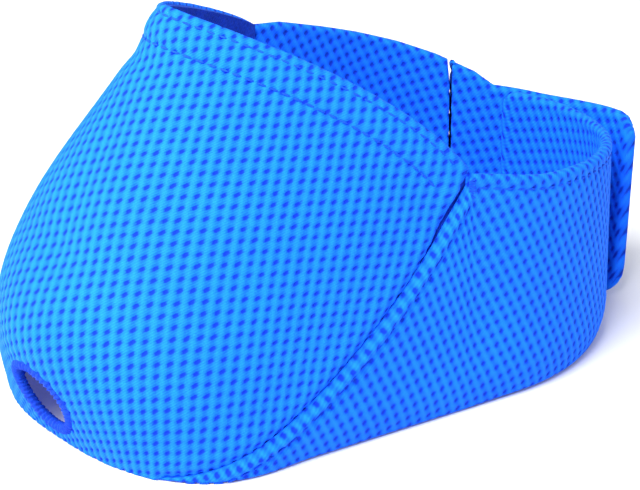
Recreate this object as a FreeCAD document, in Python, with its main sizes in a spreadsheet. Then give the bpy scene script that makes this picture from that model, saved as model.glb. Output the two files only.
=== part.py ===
"""Soft mesh cat muzzle: a domed face panel with a nose hole, two cheek gussets and two neck straps.

The muzzle stands on its lower rim.  X runs from the nose to the back of the neck, Y from the right
side to the left, and Z up.  All lengths are millimetres.  The profile numbers below are measured from
the foot of the nose, and every piece is then moved back by nose_to_origin, which centres the muzzle.
"""
import FreeCAD, Part
import Sketcher
import math
import os
from FreeCAD import Vector

# name, value, meaning
DIMENSIONS = [
    ("nose_to_origin", 73.5, "from the foot of the nose plane to the origin"),
    ("cloth", 1.4, "thickness of the mesh cloth, one layer"),
    ("strap_cloth", 2.4, "thickness of a strap, cloth folded double"),
    ("trim_cloth", 0.8, "thickness of a turned hem or a seam tape"),
    ("ease", 0.05, "space between a trim layer and the cloth it lies on"),
    ("body_gap", 0.3, "space between pieces that move apart"),
    ("rim_nose", 4.7, "foot of the nose on the lower rim"),
    ("rim_depth", 35.3, "length over which the rim rounds from nose to cheek"),
    ("rim_half", 42.5, "half width of the lower rim"),
    ("rim_power", 2.66, "squareness of the rim's front corners"),
    ("brim_x", 34.0, "middle of the brim, back from the nose"),
    ("brim_z", 92.0, "middle of the brim, height"),
    ("brim_right_reach", 15.0, "how far the brim runs straight across, right half"),
    ("brim_left_reach", 11.5, "how far the brim runs straight across, left half"),
    ("corner_x", 85.0, "cheek corner, where brim, seam and strap meet"),
    ("corner_right_y", 40.7, "right cheek corner, half width"),
    ("corner_left_y", 42.0, "left cheek corner, half width"),
    ("corner_right_z", 55.0, "right cheek corner, height"),
    ("corner_left_z", 67.0, "left cheek corner, height"),
    ("nose_low_x", -8.3, "lower pull of the nose profile"),
    ("nose_low_z", 46.0, "lower pull of the nose profile, height"),
    ("nose_top_x", 22.3, "upper pull of the nose profile"),
    ("nose_top_z", 62.0, "upper pull of the nose profile, height"),
    ("cheek_low", 3.3, "bulge of the lower cheek"),
    ("cheek_top", 6.0, "bulge of the upper cheek"),
    ("cheek_lift", 2.0, "lift of the upper cheek"),
    ("snout", 5.5, "how far the snout stands out round the nose hole"),
    ("snout_wide", 0.17, "the snout's half width, as a share of the brim"),
    ("snout_tall", 0.42, "the snout's height, as a share of the way from rim to brim"),
    ("hole_wide", 16.8, "nose hole, width"),
    ("hole_tall", 14.8, "nose hole, height along the cloth"),
    ("hole_z", 9.6, "nose hole, height of its middle"),
    ("hole_tilt", 28.0, "nose hole, degrees that it faces down"),
    ("binding", 1.6, "width of the binding round the nose hole"),
    ("seam_foot_x", 9.5, "cheek seam, where it meets the lower rim"),
    ("seam_mid_x", 49.0, "cheek seam, middle point"),
    ("seam_mid_z", 18.6, "cheek seam, middle point's height"),
    ("seam_tape_wide", 5.0, "width of the tape behind the cheek seam"),
    ("seam_row", 3.6, "distance of the seam's top stitching from the seam"),
    ("brim_row", 2.0, "first brim stitch row, from the edge"),
    ("brim_hem", 8.5, "depth of the brim's turned hem"),
    ("strap_run", 98.0, "where the straps leave the straight and curl in"),
    ("curl_wide", 54.0, "radius of the right strap's first bend"),
    ("curl_turn", 41.0, "degrees turned by the first bend"),
    ("curl_left", 37.5, "radius of the right strap's end, along the left side"),
    ("right_mid_x", 104.0, "right strap, where its top edge changes slope"),
    ("right_mid_z", 51.0, "right strap, height there"),
    ("right_back_z", 46.0, "right strap, height at the back and to its end"),
    ("left_back_z", 45.0, "left strap, height at the back and on the tab"),
    ("right_end", 30.0, "degrees round the left side where the right strap ends"),
    ("tab_start", 42.0, "degrees round the left side where the closure tab starts"),
    ("tab_end", 15.0, "degrees past the back where the closure tab ends"),
    ("tab_corner", 5.0, "rounding of the strap ends"),
    ("loop_tape", 1.0, "thickness of the loop tape"),
    ("hook_tape", 1.0, "thickness of the hook tape"),
    ("tape_low", 5.0, "height of the fastening tapes' lower edges"),
    ("tape_top", 38.0, "height of the fastening tapes' upper edges"),
    ("hem_row", 3.0, "strap stitch row, from the top edge"),
    ("thread", 0.5, "thickness of the sewing thread"),
    ("edge_row", 1.5, "stitch rows of the tapes, from the tapes' edges"),
    ("tack_long", 4.0, "length of the bar tack at a cheek corner"),
    ("tack_wide", 1.6, "width of the bar tack"),
    ("tack_thick", 0.8, "thickness of the bar tack"),
    ("tack_back", 2.2, "from the cheek corner forward to the bar tack"),
    ("tack_drop", 7.5, "from the cheek corner down to the bar tack's foot"),
]

HINGE_GAP = 0.6          # slot between a strap and the piece it folds from
SIDES = {"right": -1, "left": 1}
BRIM_PULL = {"right": Vector(-12.4, 6.3, 21.4), "left": Vector(-12.6, 5.1, 9.0)}   # at the cheek corners
SNOUT_ROUND = 1.5        # roundness of the snout from rim to brow
HOLE_SHARE = 0.12        # share of the way up the nose where the hole's plane stands
PLUG = 24.0              # length of the prism that cuts the nose hole
BINDING_PROUD = 0.4      # how far the nose binding stands off both faces of the cloth
BINDING_PATCH = 0.4      # share of the head form that the nose binding is cut from
LEFT_TOP = [(92.6, 66.2), (104.1, 62.9), (115.5, 59.3), (125.3, 55.9), (133.7, 52.3), (140.7, 48.2),
            (143.7, 45.2)]   # the left strap's top edge between its ends: x and height
TACK_CLEAR = 0.35        # from the cheek corner out to the inner face of a bar tack
SEAM_SLACK = 0.4         # from the cheek seam to its tape
TAPE_SHORT = {"right": 1.0, "left": 7.5}     # a seam tape ends this far before the cheek corner

doc = FreeCAD.newDocument("cat_muzzle")
sheet = doc.addObject("Spreadsheet::Sheet", "Dimensions")
for row, (name, value, meaning) in enumerate(DIMENSIONS, start=1):
    sheet.set("A%d" % row, name)
    sheet.set("B%d" % row, str(value))
    sheet.setAlias("B%d" % row, name)
    sheet.set("C%d" % row, meaning)
doc.recompute()


def dim(name):
    """A driving dimension from the sheet."""
    return float(getattr(sheet, name))


# ---------------------------------------------------------------- the head form

def rim_point(s):
    """The lower rim on the right side, s from 0 at the nose to 1 under the cheek corner."""
    front, half, power = dim("rim_depth"), dim("rim_half"), dim("rim_power")
    cheek = dim("rim_nose") + front
    if s >= 0.5:
        run = (s - 0.5) / 0.5
        return Vector(cheek + (dim("corner_x") - cheek) * run, -half, 0)
    turn = s / 0.5 * math.pi / 2
    reach = abs(math.cos(turn) / front) ** power + abs(math.sin(turn) / half) ** power
    radius = reach ** (-1 / power)
    return Vector(cheek - radius * math.cos(turn), -radius * math.sin(turn), 0)


def bezier(a, b, c, d, t):
    """A point on a cubic curve."""
    return a * (1 - t) ** 3 + b * (3 * t * (1 - t) ** 2) + c * (3 * t * t * (1 - t)) + d * t ** 3


def brim_point(s, side):
    """The brim's edge as a right-hand curve, s from 0 at the middle to 1 at the cheek corner."""
    corner = Vector(dim("corner_x"), -dim("corner_%s_y" % side), dim("corner_%s_z" % side))
    middle = Vector(dim("brim_x"), 0, dim("brim_z"))
    leave = middle + Vector(0, -dim("brim_%s_reach" % side), 0)
    return bezier(middle, leave, corner + BRIM_PULL[side], corner, s)


def head_point(u, w):
    """A point of the outer face: u from -1 (right) through 0 (nose) to 1 (left), w from rim to brim."""
    side = "left" if u > 0 else "right"
    s = abs(u)
    foot, edge = rim_point(s), brim_point(s, side)
    turn = min(s / 0.5, 1) * math.pi / 2
    outward = Vector(-math.cos(turn), -math.sin(turn), 0)
    nose_share = math.cos(s * math.pi / 2) ** 2
    cheek_share = math.sin(s * math.pi)
    third = (edge - foot) / 3
    low_pull = Vector(dim("nose_low_x") - dim("rim_nose"), 0, dim("nose_low_z"))
    top_pull = Vector(dim("nose_top_x") - dim("brim_x"), 0, dim("nose_top_z") - dim("brim_z"))
    low = foot + third * (1 - nose_share) + low_pull * nose_share
    low += outward * (dim("cheek_low") * cheek_share)
    top = edge - third * (1 - nose_share) + top_pull * nose_share
    top += outward * (dim("cheek_top") * cheek_share) + Vector(0, 0, dim("cheek_lift") * cheek_share)
    point = bezier(foot, low, top, edge, w)
    swell = math.exp(-(s / dim("snout_wide")) ** 2)
    swell *= max(math.sin(math.pi * min(w / dim("snout_tall"), 1)), 0.0) ** SNOUT_ROUND
    point += Vector(-dim("snout") * swell, 0, 0)
    return Vector(point.x, point.y if side == "right" else -point.y, point.z)


def head_normal(u, w):
    """The outward direction of the head form at (u, w)."""
    step = 0.004
    u0, u1 = max(u - step, -1), min(u + step, 1)
    w0, w1 = max(w - step, 0), min(w + step, 1)
    across = head_point(u1, w) - head_point(u0, w)
    up = head_point(u, w1) - head_point(u, w0)
    normal = up.cross(across)
    return normal.normalize()


def head_offset(u, w, depth):
    """The head form moved inward by depth; the lower rim stays level."""
    normal = head_normal(u, w)
    if w == 0:
        normal = Vector(normal.x, normal.y, 0).normalize()
    return head_point(u, w) - normal * depth


def column_drop(u, distance):
    """The w of the point that lies a given distance below the brim's edge, square to the edge."""
    step = 0.01
    inner = max(abs(u) - step, 0)
    side = "left" if u > 0 else "right"
    along = brim_point(inner + step, side) - brim_point(inner, side)
    signed = math.copysign(inner + step, u)
    down = head_point(signed, 1) - head_point(signed, 1 - step)
    if side == "left":
        along = Vector(along.x, -along.y, along.z)
    slant = along.normalize().cross(Vector(down).normalize()).Length
    return 1 - distance / slant * step / down.Length


# ---------------------------------------------------------------- solids from cloth

def closed_solid(faces):
    """One solid from faces that meet edge to edge."""
    shell = Part.makeShell(faces)
    shell.sewShape()
    solid = Part.Solid(shell)
    if solid.Volume < 0:
        solid.reverse()
    return solid


def cloth_layer(place, columns, rows, outer, inner):
    """A cloth layer between two depths of the head form; place turns (i, j) shares into (u, w)."""
    grids = []
    for depth in (outer, inner):
        grid = []
        for i in range(columns + 1):
            line = []
            for j in range(rows + 1):
                u, w = place(i / columns, j / rows)
                line.append(head_offset(u, w, depth))
            grid.append(line)
        grids.append(grid)
    faces = []
    for grid in grids:
        surface = Part.BSplineSurface()
        surface.interpolate(grid)
        faces.append(surface.toShape())
    for pick in (lambda s: s.vIso(s.bounds()[2]), lambda s: s.vIso(s.bounds()[3]),
                 lambda s: s.uIso(s.bounds()[0]), lambda s: s.uIso(s.bounds()[1])):
        edges = [pick(face.Surface).toShape() for face in faces]
        faces_side = Part.makeRuledSurface(edges[0], edges[1])
        faces.append(faces_side)
    return closed_solid(faces)


def thread_along(points):
    """A round thread through the points."""
    path = Part.BSplineCurve()
    path.interpolate(points)
    start = path.value(path.FirstParameter)
    heading = path.tangent(path.FirstParameter)[0]
    ring = Part.Wire(Part.makeCircle(dim("thread") / 2, start, heading))
    return Part.Wire(path.toShape()).makePipeShell([ring], True, False)


def feature(name, shape):
    """A sub-part whose shape is worked out here, placed in the muzzle's frame."""
    obj = doc.addObject("Part::Feature", name)
    obj.Label = name
    obj.Shape = shape
    obj.Placement = FreeCAD.Placement(Vector(-dim("nose_to_origin"), 0, 0), FreeCAD.Rotation())
    return obj


# ---------------------------------------------------------------- cheek seam

def seam_arc(side):
    """One cheek seam seen from the side: an arc from the lower rim to the cheek corner."""
    foot = Vector(dim("seam_foot_x"), 0, 0)
    middle = Vector(dim("seam_mid_x"), 0, dim("seam_mid_z"))
    corner = Vector(dim("corner_x"), 0, dim("corner_%s_z" % side))
    return Part.Arc(foot, middle, corner).toShape().Curve


def below_seam(side, near, far):
    """A side view region from near to far below one seam, drawn from the middle plane outward."""
    seam = seam_arc(side)
    wide = 2 * dim("rim_half")
    outward = Vector(0, SIDES[side], 0)
    tools = [Part.makeCylinder(seam.Radius + distance, wide, seam.Center, outward) for distance in (near, far)]
    return tools[1].cut(tools[0])


def seam_point(u, distance, height):
    """A point of the head form on the gusset, below the seam, lifted off the cloth by height."""
    seam = seam_arc("left" if u > 0 else "right")
    low, high = 0.0, 1.0
    for _ in range(40):
        w = (low + high) / 2
        point = head_point(u, w)
        reach = math.hypot(point.x - seam.Center.x, point.z - seam.Center.z)
        if reach > seam.Radius + distance:
            low = w
        else:
            high = w
    return head_offset(u, w, -height)


# ---------------------------------------------------------------- strap plan

def right_plan():
    """The outer face of the right strap in plan: its centres, radii and angles."""
    first = dim("curl_wide")
    turn = math.radians(dim("curl_turn"))
    centre_1 = Vector(dim("strap_run"), -dim("rim_half") + first, 0)
    bend = centre_1 + Vector(first * math.sin(turn), -first * math.cos(turn), 0)
    second = -bend.y / math.cos(turn)
    centre_2 = Vector(bend.x - second * math.sin(turn), 0, 0)
    centre_3 = Vector(centre_2.x + second - dim("curl_left"), 0, 0)
    quarter = math.pi / 2
    return [(centre_1, first, -quarter, -quarter + turn),
            (centre_2, second, -quarter + turn, 0.0),
            (centre_3, dim("curl_left"), 0.0, math.radians(dim("right_end")))]


def polar(centre, radius, angle, height=0.0):
    """A point on a circle in plan."""
    return centre + Vector(radius * math.cos(angle), radius * math.sin(angle), height)


def plan_sketch(body, bends, thickness, lead=None, bound=()):
    """A plan sketch of a bent strip: its outer face follows the bends, the inner lies thickness inside.

    lead is the outer point where a straight run starts, and bound pairs a bend with its sheet cell.
    """
    sketch = sketch_on(body, "XY_Plane")
    up = Vector(0, 0, 1)
    heads, tails = [], []
    for depth in (0.0, thickness):
        centre, radius, start, end = bends[0]
        head = polar(centre, radius - depth, start)
        if lead is not None:
            corner = Vector(lead.x, lead.y + math.copysign(depth, -lead.y), 0)
            sketch.addGeometry(Part.LineSegment(corner, head), False)
            head = corner
        for index, (centre, radius, start, end) in enumerate(bends):
            circle = Part.Circle(centre, up, radius - depth)
            number = sketch.addGeometry(Part.ArcOfCircle(circle, min(start, end), max(start, end)), False)
            cell = dict(bound).get(index)
            if cell and depth == 0.0:
                constraint = sketch.addConstraint(Sketcher.Constraint("Radius", number, radius))
                sketch.setExpression("Constraints[%d]" % constraint, "Dimensions." + cell)
        heads.append(head)
        tails.append(polar(centre, radius - depth, end))
    sketch.addGeometry(Part.LineSegment(heads[0], heads[1]), False)
    sketch.addGeometry(Part.LineSegment(tails[0], tails[1]), False)
    return sketch


def sketch_on(body, role):
    """A new sketch on one of the body's own origin planes."""
    sketch = body.newObject("Sketcher::SketchObject", body.Name + "_sketch")
    plane = [item for item in body.Origin.OriginFeatures if item.Role == role][0]
    sketch.AttachmentSupport = (plane, [""])
    sketch.MapMode = "FlatFace"
    return sketch


def strap_body(name, sketcher, top_cell):
    """A body with a plan sketch, padded up from the lower rim to a height in the sheet."""
    body = doc.addObject("PartDesign::Body", name)
    body.Label = name
    sketch = sketcher(body)
    pad = body.newObject("PartDesign::Pad", name + "_pad")
    pad.Profile = sketch
    pad.setExpression("Length", "Dimensions." + top_cell)
    sketch.Visibility = False
    body.setExpression("Placement.Base.x", "-Dimensions.nose_to_origin")
    doc.recompute()
    return body


def trim_top(body, outline, toward_left):
    """Pocket away what lies above an outline of (x, z) points, on one side of the middle."""
    sketch = sketch_on(body, "XZ_Plane")
    corners = [Vector(x, z, 0) for x, z in outline]
    for first, second in zip(corners, corners[1:] + corners[:1]):
        sketch.addGeometry(Part.LineSegment(first, second), False)
    before = body.Shape.Volume
    pocket = body.newObject("PartDesign::Pocket", body.Name + "_trim")
    pocket.Profile = sketch
    pocket.Type = "Length"
    pocket.Length = 2 * dim("rim_half")
    pocket.Reversed = not toward_left
    doc.recompute()
    if body.Shape.Volume >= before:
        raise RuntimeError("the top of %s was not trimmed" % body.Name)


def round_corners(body, tip, radius_cell, top_only=False):
    """Round the corners of a strap's free end, whose outer edge stands at tip in plan."""
    names = []
    for number, edge in enumerate(body.Shape.Edges, start=1):
        middle = edge.CenterOfMass + Vector(dim("nose_to_origin"), 0, 0)
        near_tip = math.hypot(middle.x - tip.x, middle.y - tip.y) < dim("strap_cloth")
        flat = abs(edge.Vertexes[0].Z - edge.Vertexes[-1].Z) < 0.01
        if near_tip and flat and edge.Length < 2 * dim("strap_cloth"):
            if middle.z > 1 or not top_only:
                names.append("Edge%d" % number)
    trimmed = body.Tip
    fillet = body.newObject("PartDesign::Fillet", body.Name + "_corners")
    fillet.Base = (trimmed, names)
    fillet.setExpression("Radius", "Dimensions." + radius_cell)
    doc.recompute()


# ---------------------------------------------------------------- face panel and gussets

def elliptic_plug(grow):
    """A prism through the nose hole, grown all round by grow."""
    tilt = math.radians(dim("hole_tilt"))
    axis = Vector(-math.cos(tilt), 0, -math.sin(tilt))
    rise = Vector(-math.sin(tilt), 0, math.cos(tilt))
    centre = Vector(head_point(0, HOLE_SHARE).x, 0, dim("hole_z")) - axis * (PLUG / 2)
    half_wide = dim("hole_wide") / 2 + grow
    half_tall = dim("hole_tall") / 2 + grow
    ellipse = Part.Ellipse(centre + Vector(0, half_wide, 0), centre + rise * half_tall, centre)
    face = Part.Face(Part.Wire(ellipse.toShape()))
    return face.extrude(axis * PLUG)


def whole_head(i, j):
    """Shares to head coordinates over the whole form."""
    return -1 + 2 * i, j


def in_front(shape, back):
    """The part of a shape in front of x = back."""
    wide = 4 * dim("rim_half")
    return shape.common(Part.makeBox(2 * wide, 2 * wide, 2 * wide, Vector(back - 2 * wide, -wide, -wide)))


def largest(shape):
    """The largest solid of a shape."""
    return max(shape.Solids, key=lambda solid: solid.Volume)


head_wall = cloth_layer(whole_head, 60, 20, 0.0, dim("cloth"))
below = {side: below_seam(side, 0.0, 4 * dim("rim_half")) for side in SIDES}
panel = head_wall.cut(below["right"]).cut(below["left"]).cut(elliptic_plug(dim("binding")))
feature("face_panel", largest(panel))
for side in SIDES:
    feature(side + "_cheek_gusset", largest(head_wall.common(below[side])))

binding_wall = cloth_layer(lambda i, j: (BINDING_PATCH * (2 * i - 1), BINDING_PATCH * j), 24, 10,
                           -BINDING_PROUD, dim("cloth") + BINDING_PROUD)
ring = elliptic_plug(dim("binding") - dim("ease")).cut(elliptic_plug(0.0))
feature("nose_hole_binding", largest(binding_wall.common(ring)))


FACING_REACH = 0.97      # share of the brim that the facing lines
FACING_TOP = 0.995       # its upper edge, as a share of the way from rim to brim


def brim_band(i, j):
    """Shares to head coordinates within the brim's turned hem."""
    u = FACING_REACH * (2 * i - 1)
    foot = column_drop(u, dim("brim_hem"))
    return u, foot + (FACING_TOP - foot) * j


inside = dim("cloth") + dim("ease")
feature("brim_facing", cloth_layer(brim_band, 48, 4, inside, inside + dim("trim_cloth")))

tape_wall = cloth_layer(whole_head, 60, 20, inside, inside + dim("trim_cloth"))
for side in SIDES:
    tape_band = tape_wall.common(below_seam(side, SEAM_SLACK, dim("seam_tape_wide")))
    feature(side + "_seam_tape", largest(in_front(tape_band, dim("corner_x") - TAPE_SHORT[side])))

# ---------------------------------------------------------------- straps

bends = right_plan()
strap_start = Vector(dim("corner_x") + HINGE_GAP, -dim("rim_half"), 0)
back_x = bends[1][0].x + bends[1][1]

right_strap = strap_body(
    "right_strap",
    lambda body: plan_sketch(body, bends, dim("strap_cloth"), strap_start, ((0, "curl_wide"), (2, "curl_left"))),
    "corner_right_z")
far_x, far_z = 2 * back_x, 2 * dim("corner_left_z")
tops = {"right": [(dim("corner_x"), dim("corner_right_z")), (dim("right_mid_x"), dim("right_mid_z")),
                  (back_x, dim("right_back_z"))],
        "left": [(dim("corner_x"), dim("corner_left_z")), *LEFT_TOP, (back_x, dim("left_back_z"))]}
trim_top(right_strap, [*tops["right"], (far_x, dim("right_back_z")), (far_x, far_z), (dim("corner_x"), far_z)],
         toward_left=False)
trim_top(right_strap, [(0, dim("right_back_z")), (far_x, dim("right_back_z")), (far_x, far_z), (0, far_z)],
         toward_left=True)
round_corners(right_strap, polar(bends[2][0], bends[2][1], bends[2][3]), "tab_corner")

stack = dim("loop_tape") + dim("body_gap") + dim("hook_tape")
left_centre, left_outer = bends[2][0], bends[2][1] + stack + dim("strap_cloth")
tab_centre, tab_outer = bends[1][0], bends[1][1] + stack + dim("strap_cloth")
tab_angle = math.radians(dim("tab_start"))
slot_angle = HINGE_GAP / left_outer
left_bend = [(left_centre, left_outer, math.pi / 2, tab_angle + slot_angle)]
left_start = Vector(dim("corner_x") + HINGE_GAP, left_outer, 0)

left_strap = strap_body(
    "left_strap", lambda body: plan_sketch(body, left_bend, dim("strap_cloth"), left_start), "corner_left_z")
trim_top(left_strap, [*tops["left"], (far_x, dim("left_back_z")), (far_x, far_z), (dim("corner_x"), far_z)],
         toward_left=True)

tab_bends = [(left_centre, left_outer, tab_angle, 0.0),
             (tab_centre, tab_outer, 0.0, -math.radians(dim("tab_end")))]
closure_tab = strap_body(
    "closure_tab", lambda body: plan_sketch(body, tab_bends, dim("strap_cloth")), "corner_left_z")
trim_top(closure_tab, [*tops["left"], (far_x, dim("left_back_z")), (far_x, far_z), (dim("corner_x"), far_z)],
         toward_left=True)
trim_top(closure_tab, [(dim("corner_x"), dim("left_back_z")), (far_x, dim("left_back_z")), (far_x, far_z),
                       (dim("corner_x"), far_z)], toward_left=False)
round_corners(closure_tab, polar(tab_centre, tab_outer, tab_bends[1][3]), "tab_corner")


def arc_strip(outer_bends, thickness, low, top):
    """A tape that follows bends in plan, between two heights."""
    pieces = []
    for centre, radius, start, end in outer_bends:
        ring_face = Part.makeCylinder(radius, top - low, centre + Vector(0, 0, low))
        ring_face = ring_face.cut(Part.makeCylinder(radius - thickness, top - low, centre + Vector(0, 0, low)))
        first, last = sorted((start, end))
        reach = 3 * radius
        fan = [polar(centre, reach, first + (last - first) * k / 6, low) for k in range(7)]
        wedge = Part.Face(Part.makePolygon([centre + Vector(0, 0, low)] + fan + [centre + Vector(0, 0, low)]))
        pieces.append(ring_face.common(wedge.extrude(Vector(0, 0, top - low))))
    whole = pieces[0]
    for piece in pieces[1:]:
        whole = whole.fuse(piece)
    return whole.removeSplitter()


tape_low, tape_top = dim("tape_low"), dim("tape_top")
hook_radius = dim("loop_tape") + dim("body_gap") + dim("hook_tape") - dim("ease")
hook_bends = [(left_centre, bends[2][1] + hook_radius, math.radians(dim("right_end") - 3), 0.0),
              (tab_centre, bends[1][1] + hook_radius, 0.0, -math.radians(dim("tab_end") - 3))]
feature("hook_tape", arc_strip(hook_bends, dim("hook_tape") - dim("ease"), tape_low, tape_top))
loop_bends = [(left_centre, bends[2][1] + dim("loop_tape"), math.radians(dim("right_end") - 4), 0.0),
              (tab_centre, bends[1][1] + dim("loop_tape"), 0.0, -math.radians(dim("tab_end") + 1))]
feature("loop_tape", arc_strip(loop_bends, dim("loop_tape") - dim("ease"), tape_low, tape_top))

# ---------------------------------------------------------------- sewing

lift = dim("thread") / 2 + dim("ease")
SEAM_FIRST, SEAM_LAST = 0.43, 0.96           # span of the seam's top stitching, as shares of the brim
EDGE_ROW_REACH, HEM_ROW_REACH = 0.96, 0.9    # spans of the brim's two rows
HEM_ROW_IN = 0.8                             # the hem's row runs this far inside its raw edge


def head_row(place, count):
    """A thread over the head form; place turns a share into (u, w)."""
    return thread_along([head_offset(*place(k / count), -lift) for k in range(count + 1)])


def below_edge(distance, reach):
    """Places along the brim at a distance below its edge."""
    return lambda share: (-reach + 2 * reach * share, column_drop(-reach + 2 * reach * share, distance))


feature("brim_edge_thread", head_row(below_edge(dim("brim_row"), EDGE_ROW_REACH), 48))
feature("brim_hem_thread", head_row(below_edge(dim("brim_hem") - HEM_ROW_IN, HEM_ROW_REACH), 48))

for side, sign in SIDES.items():
    row = [seam_point(sign * (SEAM_FIRST + (SEAM_LAST - SEAM_FIRST) * k / 30), dim("seam_row"), lift)
           for k in range(31)]
    feature(side + "_seam_thread", thread_along(row))


def plan_row(outer_bends, height, count=16):
    """Points of a level or falling row on a strap's outer face; height is a function of x."""
    points = []
    for centre, radius, start, end in outer_bends:
        for k in range(count):
            point = polar(centre, radius + lift, start + (end - start) * k / count)
            points.append(Vector(point.x, point.y, height(point.x)))
    point = polar(centre, radius + lift, end)
    points.append(Vector(point.x, point.y, height(point.x)))
    return points


def row_height(side, x):
    """Height of a strap's stitch row above the rim, at a distance back."""
    outline = tops[side]
    for (x0, z0), (x1, z1) in zip(outline, outline[1:]):
        if x <= x1:
            return z0 + (z1 - z0) * (x - x0) / (x1 - x0) - dim("hem_row")
    return outline[-1][1] - dim("hem_row")


margin = 0.04
right_row = plan_row([(bends[0][0], bends[0][1], bends[0][2] + margin, bends[0][3]),
                      (bends[1][0], bends[1][1], bends[1][2], bends[1][3] - 6 * margin)],
                     lambda x: row_height("right", x))
feature("right_strap_thread", thread_along(right_row))
left_row = plan_row([(left_centre, left_outer, math.pi / 2 - margin, tab_angle + slot_angle + margin)],
                    lambda x: row_height("left", x))
feature("left_strap_thread", thread_along(left_row))

tab_span = [(left_centre, left_outer, math.radians(dim("tab_start") - 5), 0.0),
            (tab_centre, tab_outer, 0.0, -math.radians(dim("tab_end") - 5))]
row_low, row_top = tape_low + dim("edge_row"), tape_top - dim("edge_row")
rows = [thread_along(plan_row(tab_span, lambda x, z=z: z)) for z in (row_low, row_top)]
for centre, radius, angle in ((left_centre, left_outer, tab_span[0][2]), (tab_centre, tab_outer, tab_span[1][3])):
    low = polar(centre, radius + lift, angle, row_low + 2 * dim("thread"))
    rows.append(Part.makeCylinder(dim("thread") / 2, row_top - row_low - 4 * dim("thread"), low))
feature("closure_tab_thread", Part.makeCompound(rows))

for side, sign in SIDES.items():
    tack = doc.addObject("Part::Box", side + "_bar_tack")
    tack.Label = side + "_bar_tack"
    tack.setExpression("Length", "Dimensions.tack_wide")
    tack.setExpression("Width", "Dimensions.tack_thick")
    tack.setExpression("Height", "Dimensions.tack_long")
    corner = Vector(dim("corner_x") - dim("tack_back"), sign * (dim("corner_%s_y" % side) + TACK_CLEAR),
                    dim("corner_%s_z" % side) - dim("tack_drop"))
    if sign < 0:
        corner.y -= dim("tack_thick")
    tack.Placement = FreeCAD.Placement(corner - Vector(dim("nose_to_origin"), 0, 0), FreeCAD.Rotation())

# ---------------------------------------------------------------- check and write

doc.recompute()
parts = [obj for obj in doc.Objects
         if obj.TypeId in ("Part::Feature", "PartDesign::Body", "Part::Box")]
for obj in doc.Objects:
    if "Invalid" in obj.State or "Error" in obj.State:
        raise RuntimeError("%s failed to build" % obj.Name)
for obj in parts:
    if obj.Shape.isNull() or not obj.Shape.isValid() or not obj.Shape.Solids:
        raise RuntimeError("%s has no valid shape" % obj.Label)

os.makedirs("parts", exist_ok=True)
whole = Part.makeCompound([obj.Shape for obj in parts])
for obj in parts:
    obj.Shape.exportStep("parts/%s.step" % obj.Label)
    print("%-22s %8.1f mm3  %d solid(s)" % (obj.Label, obj.Shape.Volume, len(obj.Shape.Solids)))
box = whole.BoundBox
print("x %.2f %.2f  y %.2f %.2f  z %.2f %.2f" % (box.XMin, box.XMax, box.YMin, box.YMax, box.ZMin, box.ZMax))
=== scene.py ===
"""A soft mesh cat muzzle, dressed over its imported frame.

The muzzle is sewn from blue knitted mesh: a domed face panel with a bound nose hole, two side
pieces that are gusset and neck strap in one, and a closure tab with hook and loop tape.  Shapes are
worked out in millimetres from the foot of the nose (X back, Y to the animal's left, Z up), and
Shop.metres moves every finished piece into the frame.
"""

import logging
import math
from dataclasses import dataclass, field
from enum import Enum
from typing import Callable

import bmesh
import bpy
import numpy as np
from mathutils import Matrix, Vector


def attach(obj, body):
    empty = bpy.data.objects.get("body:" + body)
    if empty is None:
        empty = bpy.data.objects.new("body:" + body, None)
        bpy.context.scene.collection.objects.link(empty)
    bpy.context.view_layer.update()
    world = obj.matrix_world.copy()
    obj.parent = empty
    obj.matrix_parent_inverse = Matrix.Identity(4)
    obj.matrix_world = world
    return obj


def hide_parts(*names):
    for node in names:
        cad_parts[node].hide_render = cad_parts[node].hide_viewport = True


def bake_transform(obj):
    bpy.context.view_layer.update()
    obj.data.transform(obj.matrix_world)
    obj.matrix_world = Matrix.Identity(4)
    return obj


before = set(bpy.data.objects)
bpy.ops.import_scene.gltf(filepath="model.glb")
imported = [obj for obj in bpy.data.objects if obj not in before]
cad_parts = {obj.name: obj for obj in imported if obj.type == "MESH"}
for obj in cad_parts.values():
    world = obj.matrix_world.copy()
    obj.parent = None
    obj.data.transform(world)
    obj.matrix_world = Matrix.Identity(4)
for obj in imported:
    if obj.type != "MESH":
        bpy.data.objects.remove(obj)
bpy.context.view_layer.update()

log = logging.getLogger("muzzle")
Array = np.ndarray
MM = 0.001
NOSE_TO_ORIGIN = 73.5            # from the foot of the nose to the frame's origin
BLOCK = 4096                     # points handled together in a nearest-point search
HALVINGS = 40                    # rounds of a search by halves on the head form
PIT_WEIGHTS = (0.374, 0.587, 0.268)   # what shapes a pit of the knit: across, down and slanting
HINGE_SPAN = (84.0, 97.0)        # a strap bends off the cup between these places, back from the nose
TAB_SPAN = ((138.5, 31.2, 20.0), (142.5, 25.5, 20.0))    # the tab bends off the left strap between these


class Side(Enum):
    """A side of the animal, with the sign of its Y."""

    RIGHT = -1
    LEFT = 1


class Slot(Enum):
    """Material slot names."""

    CLOTH = "mesh_cloth"
    BINDING = "binding_cloth"
    THREAD = "sewing_thread"


# ------------------------------------------------------------------ small helpers

def unit(vectors: Array) -> Array:
    """Vectors of length one."""
    return vectors / np.maximum(np.linalg.norm(vectors, axis=-1, keepdims=True), 1e-12)


def smooth(value: Array, low: float, high: float) -> Array:
    """A soft step from 0 at low to 1 at high."""
    share = np.clip((value - low) / (high - low), 0.0, 1.0)
    return share * share * (3 - 2 * share)


def hump(value: Array, middle: float, reach: float) -> Array:
    """A soft bump of height one at middle."""
    return np.exp(-((value - middle) / reach) ** 2)


def beat(run: Array, pitch: float, depth: float = 0.38) -> Array:
    """How hard a row of stitching pulls along its run, hardest once a pitch."""
    return 1 - depth + depth * np.cos(2 * math.pi * run / pitch)


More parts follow.
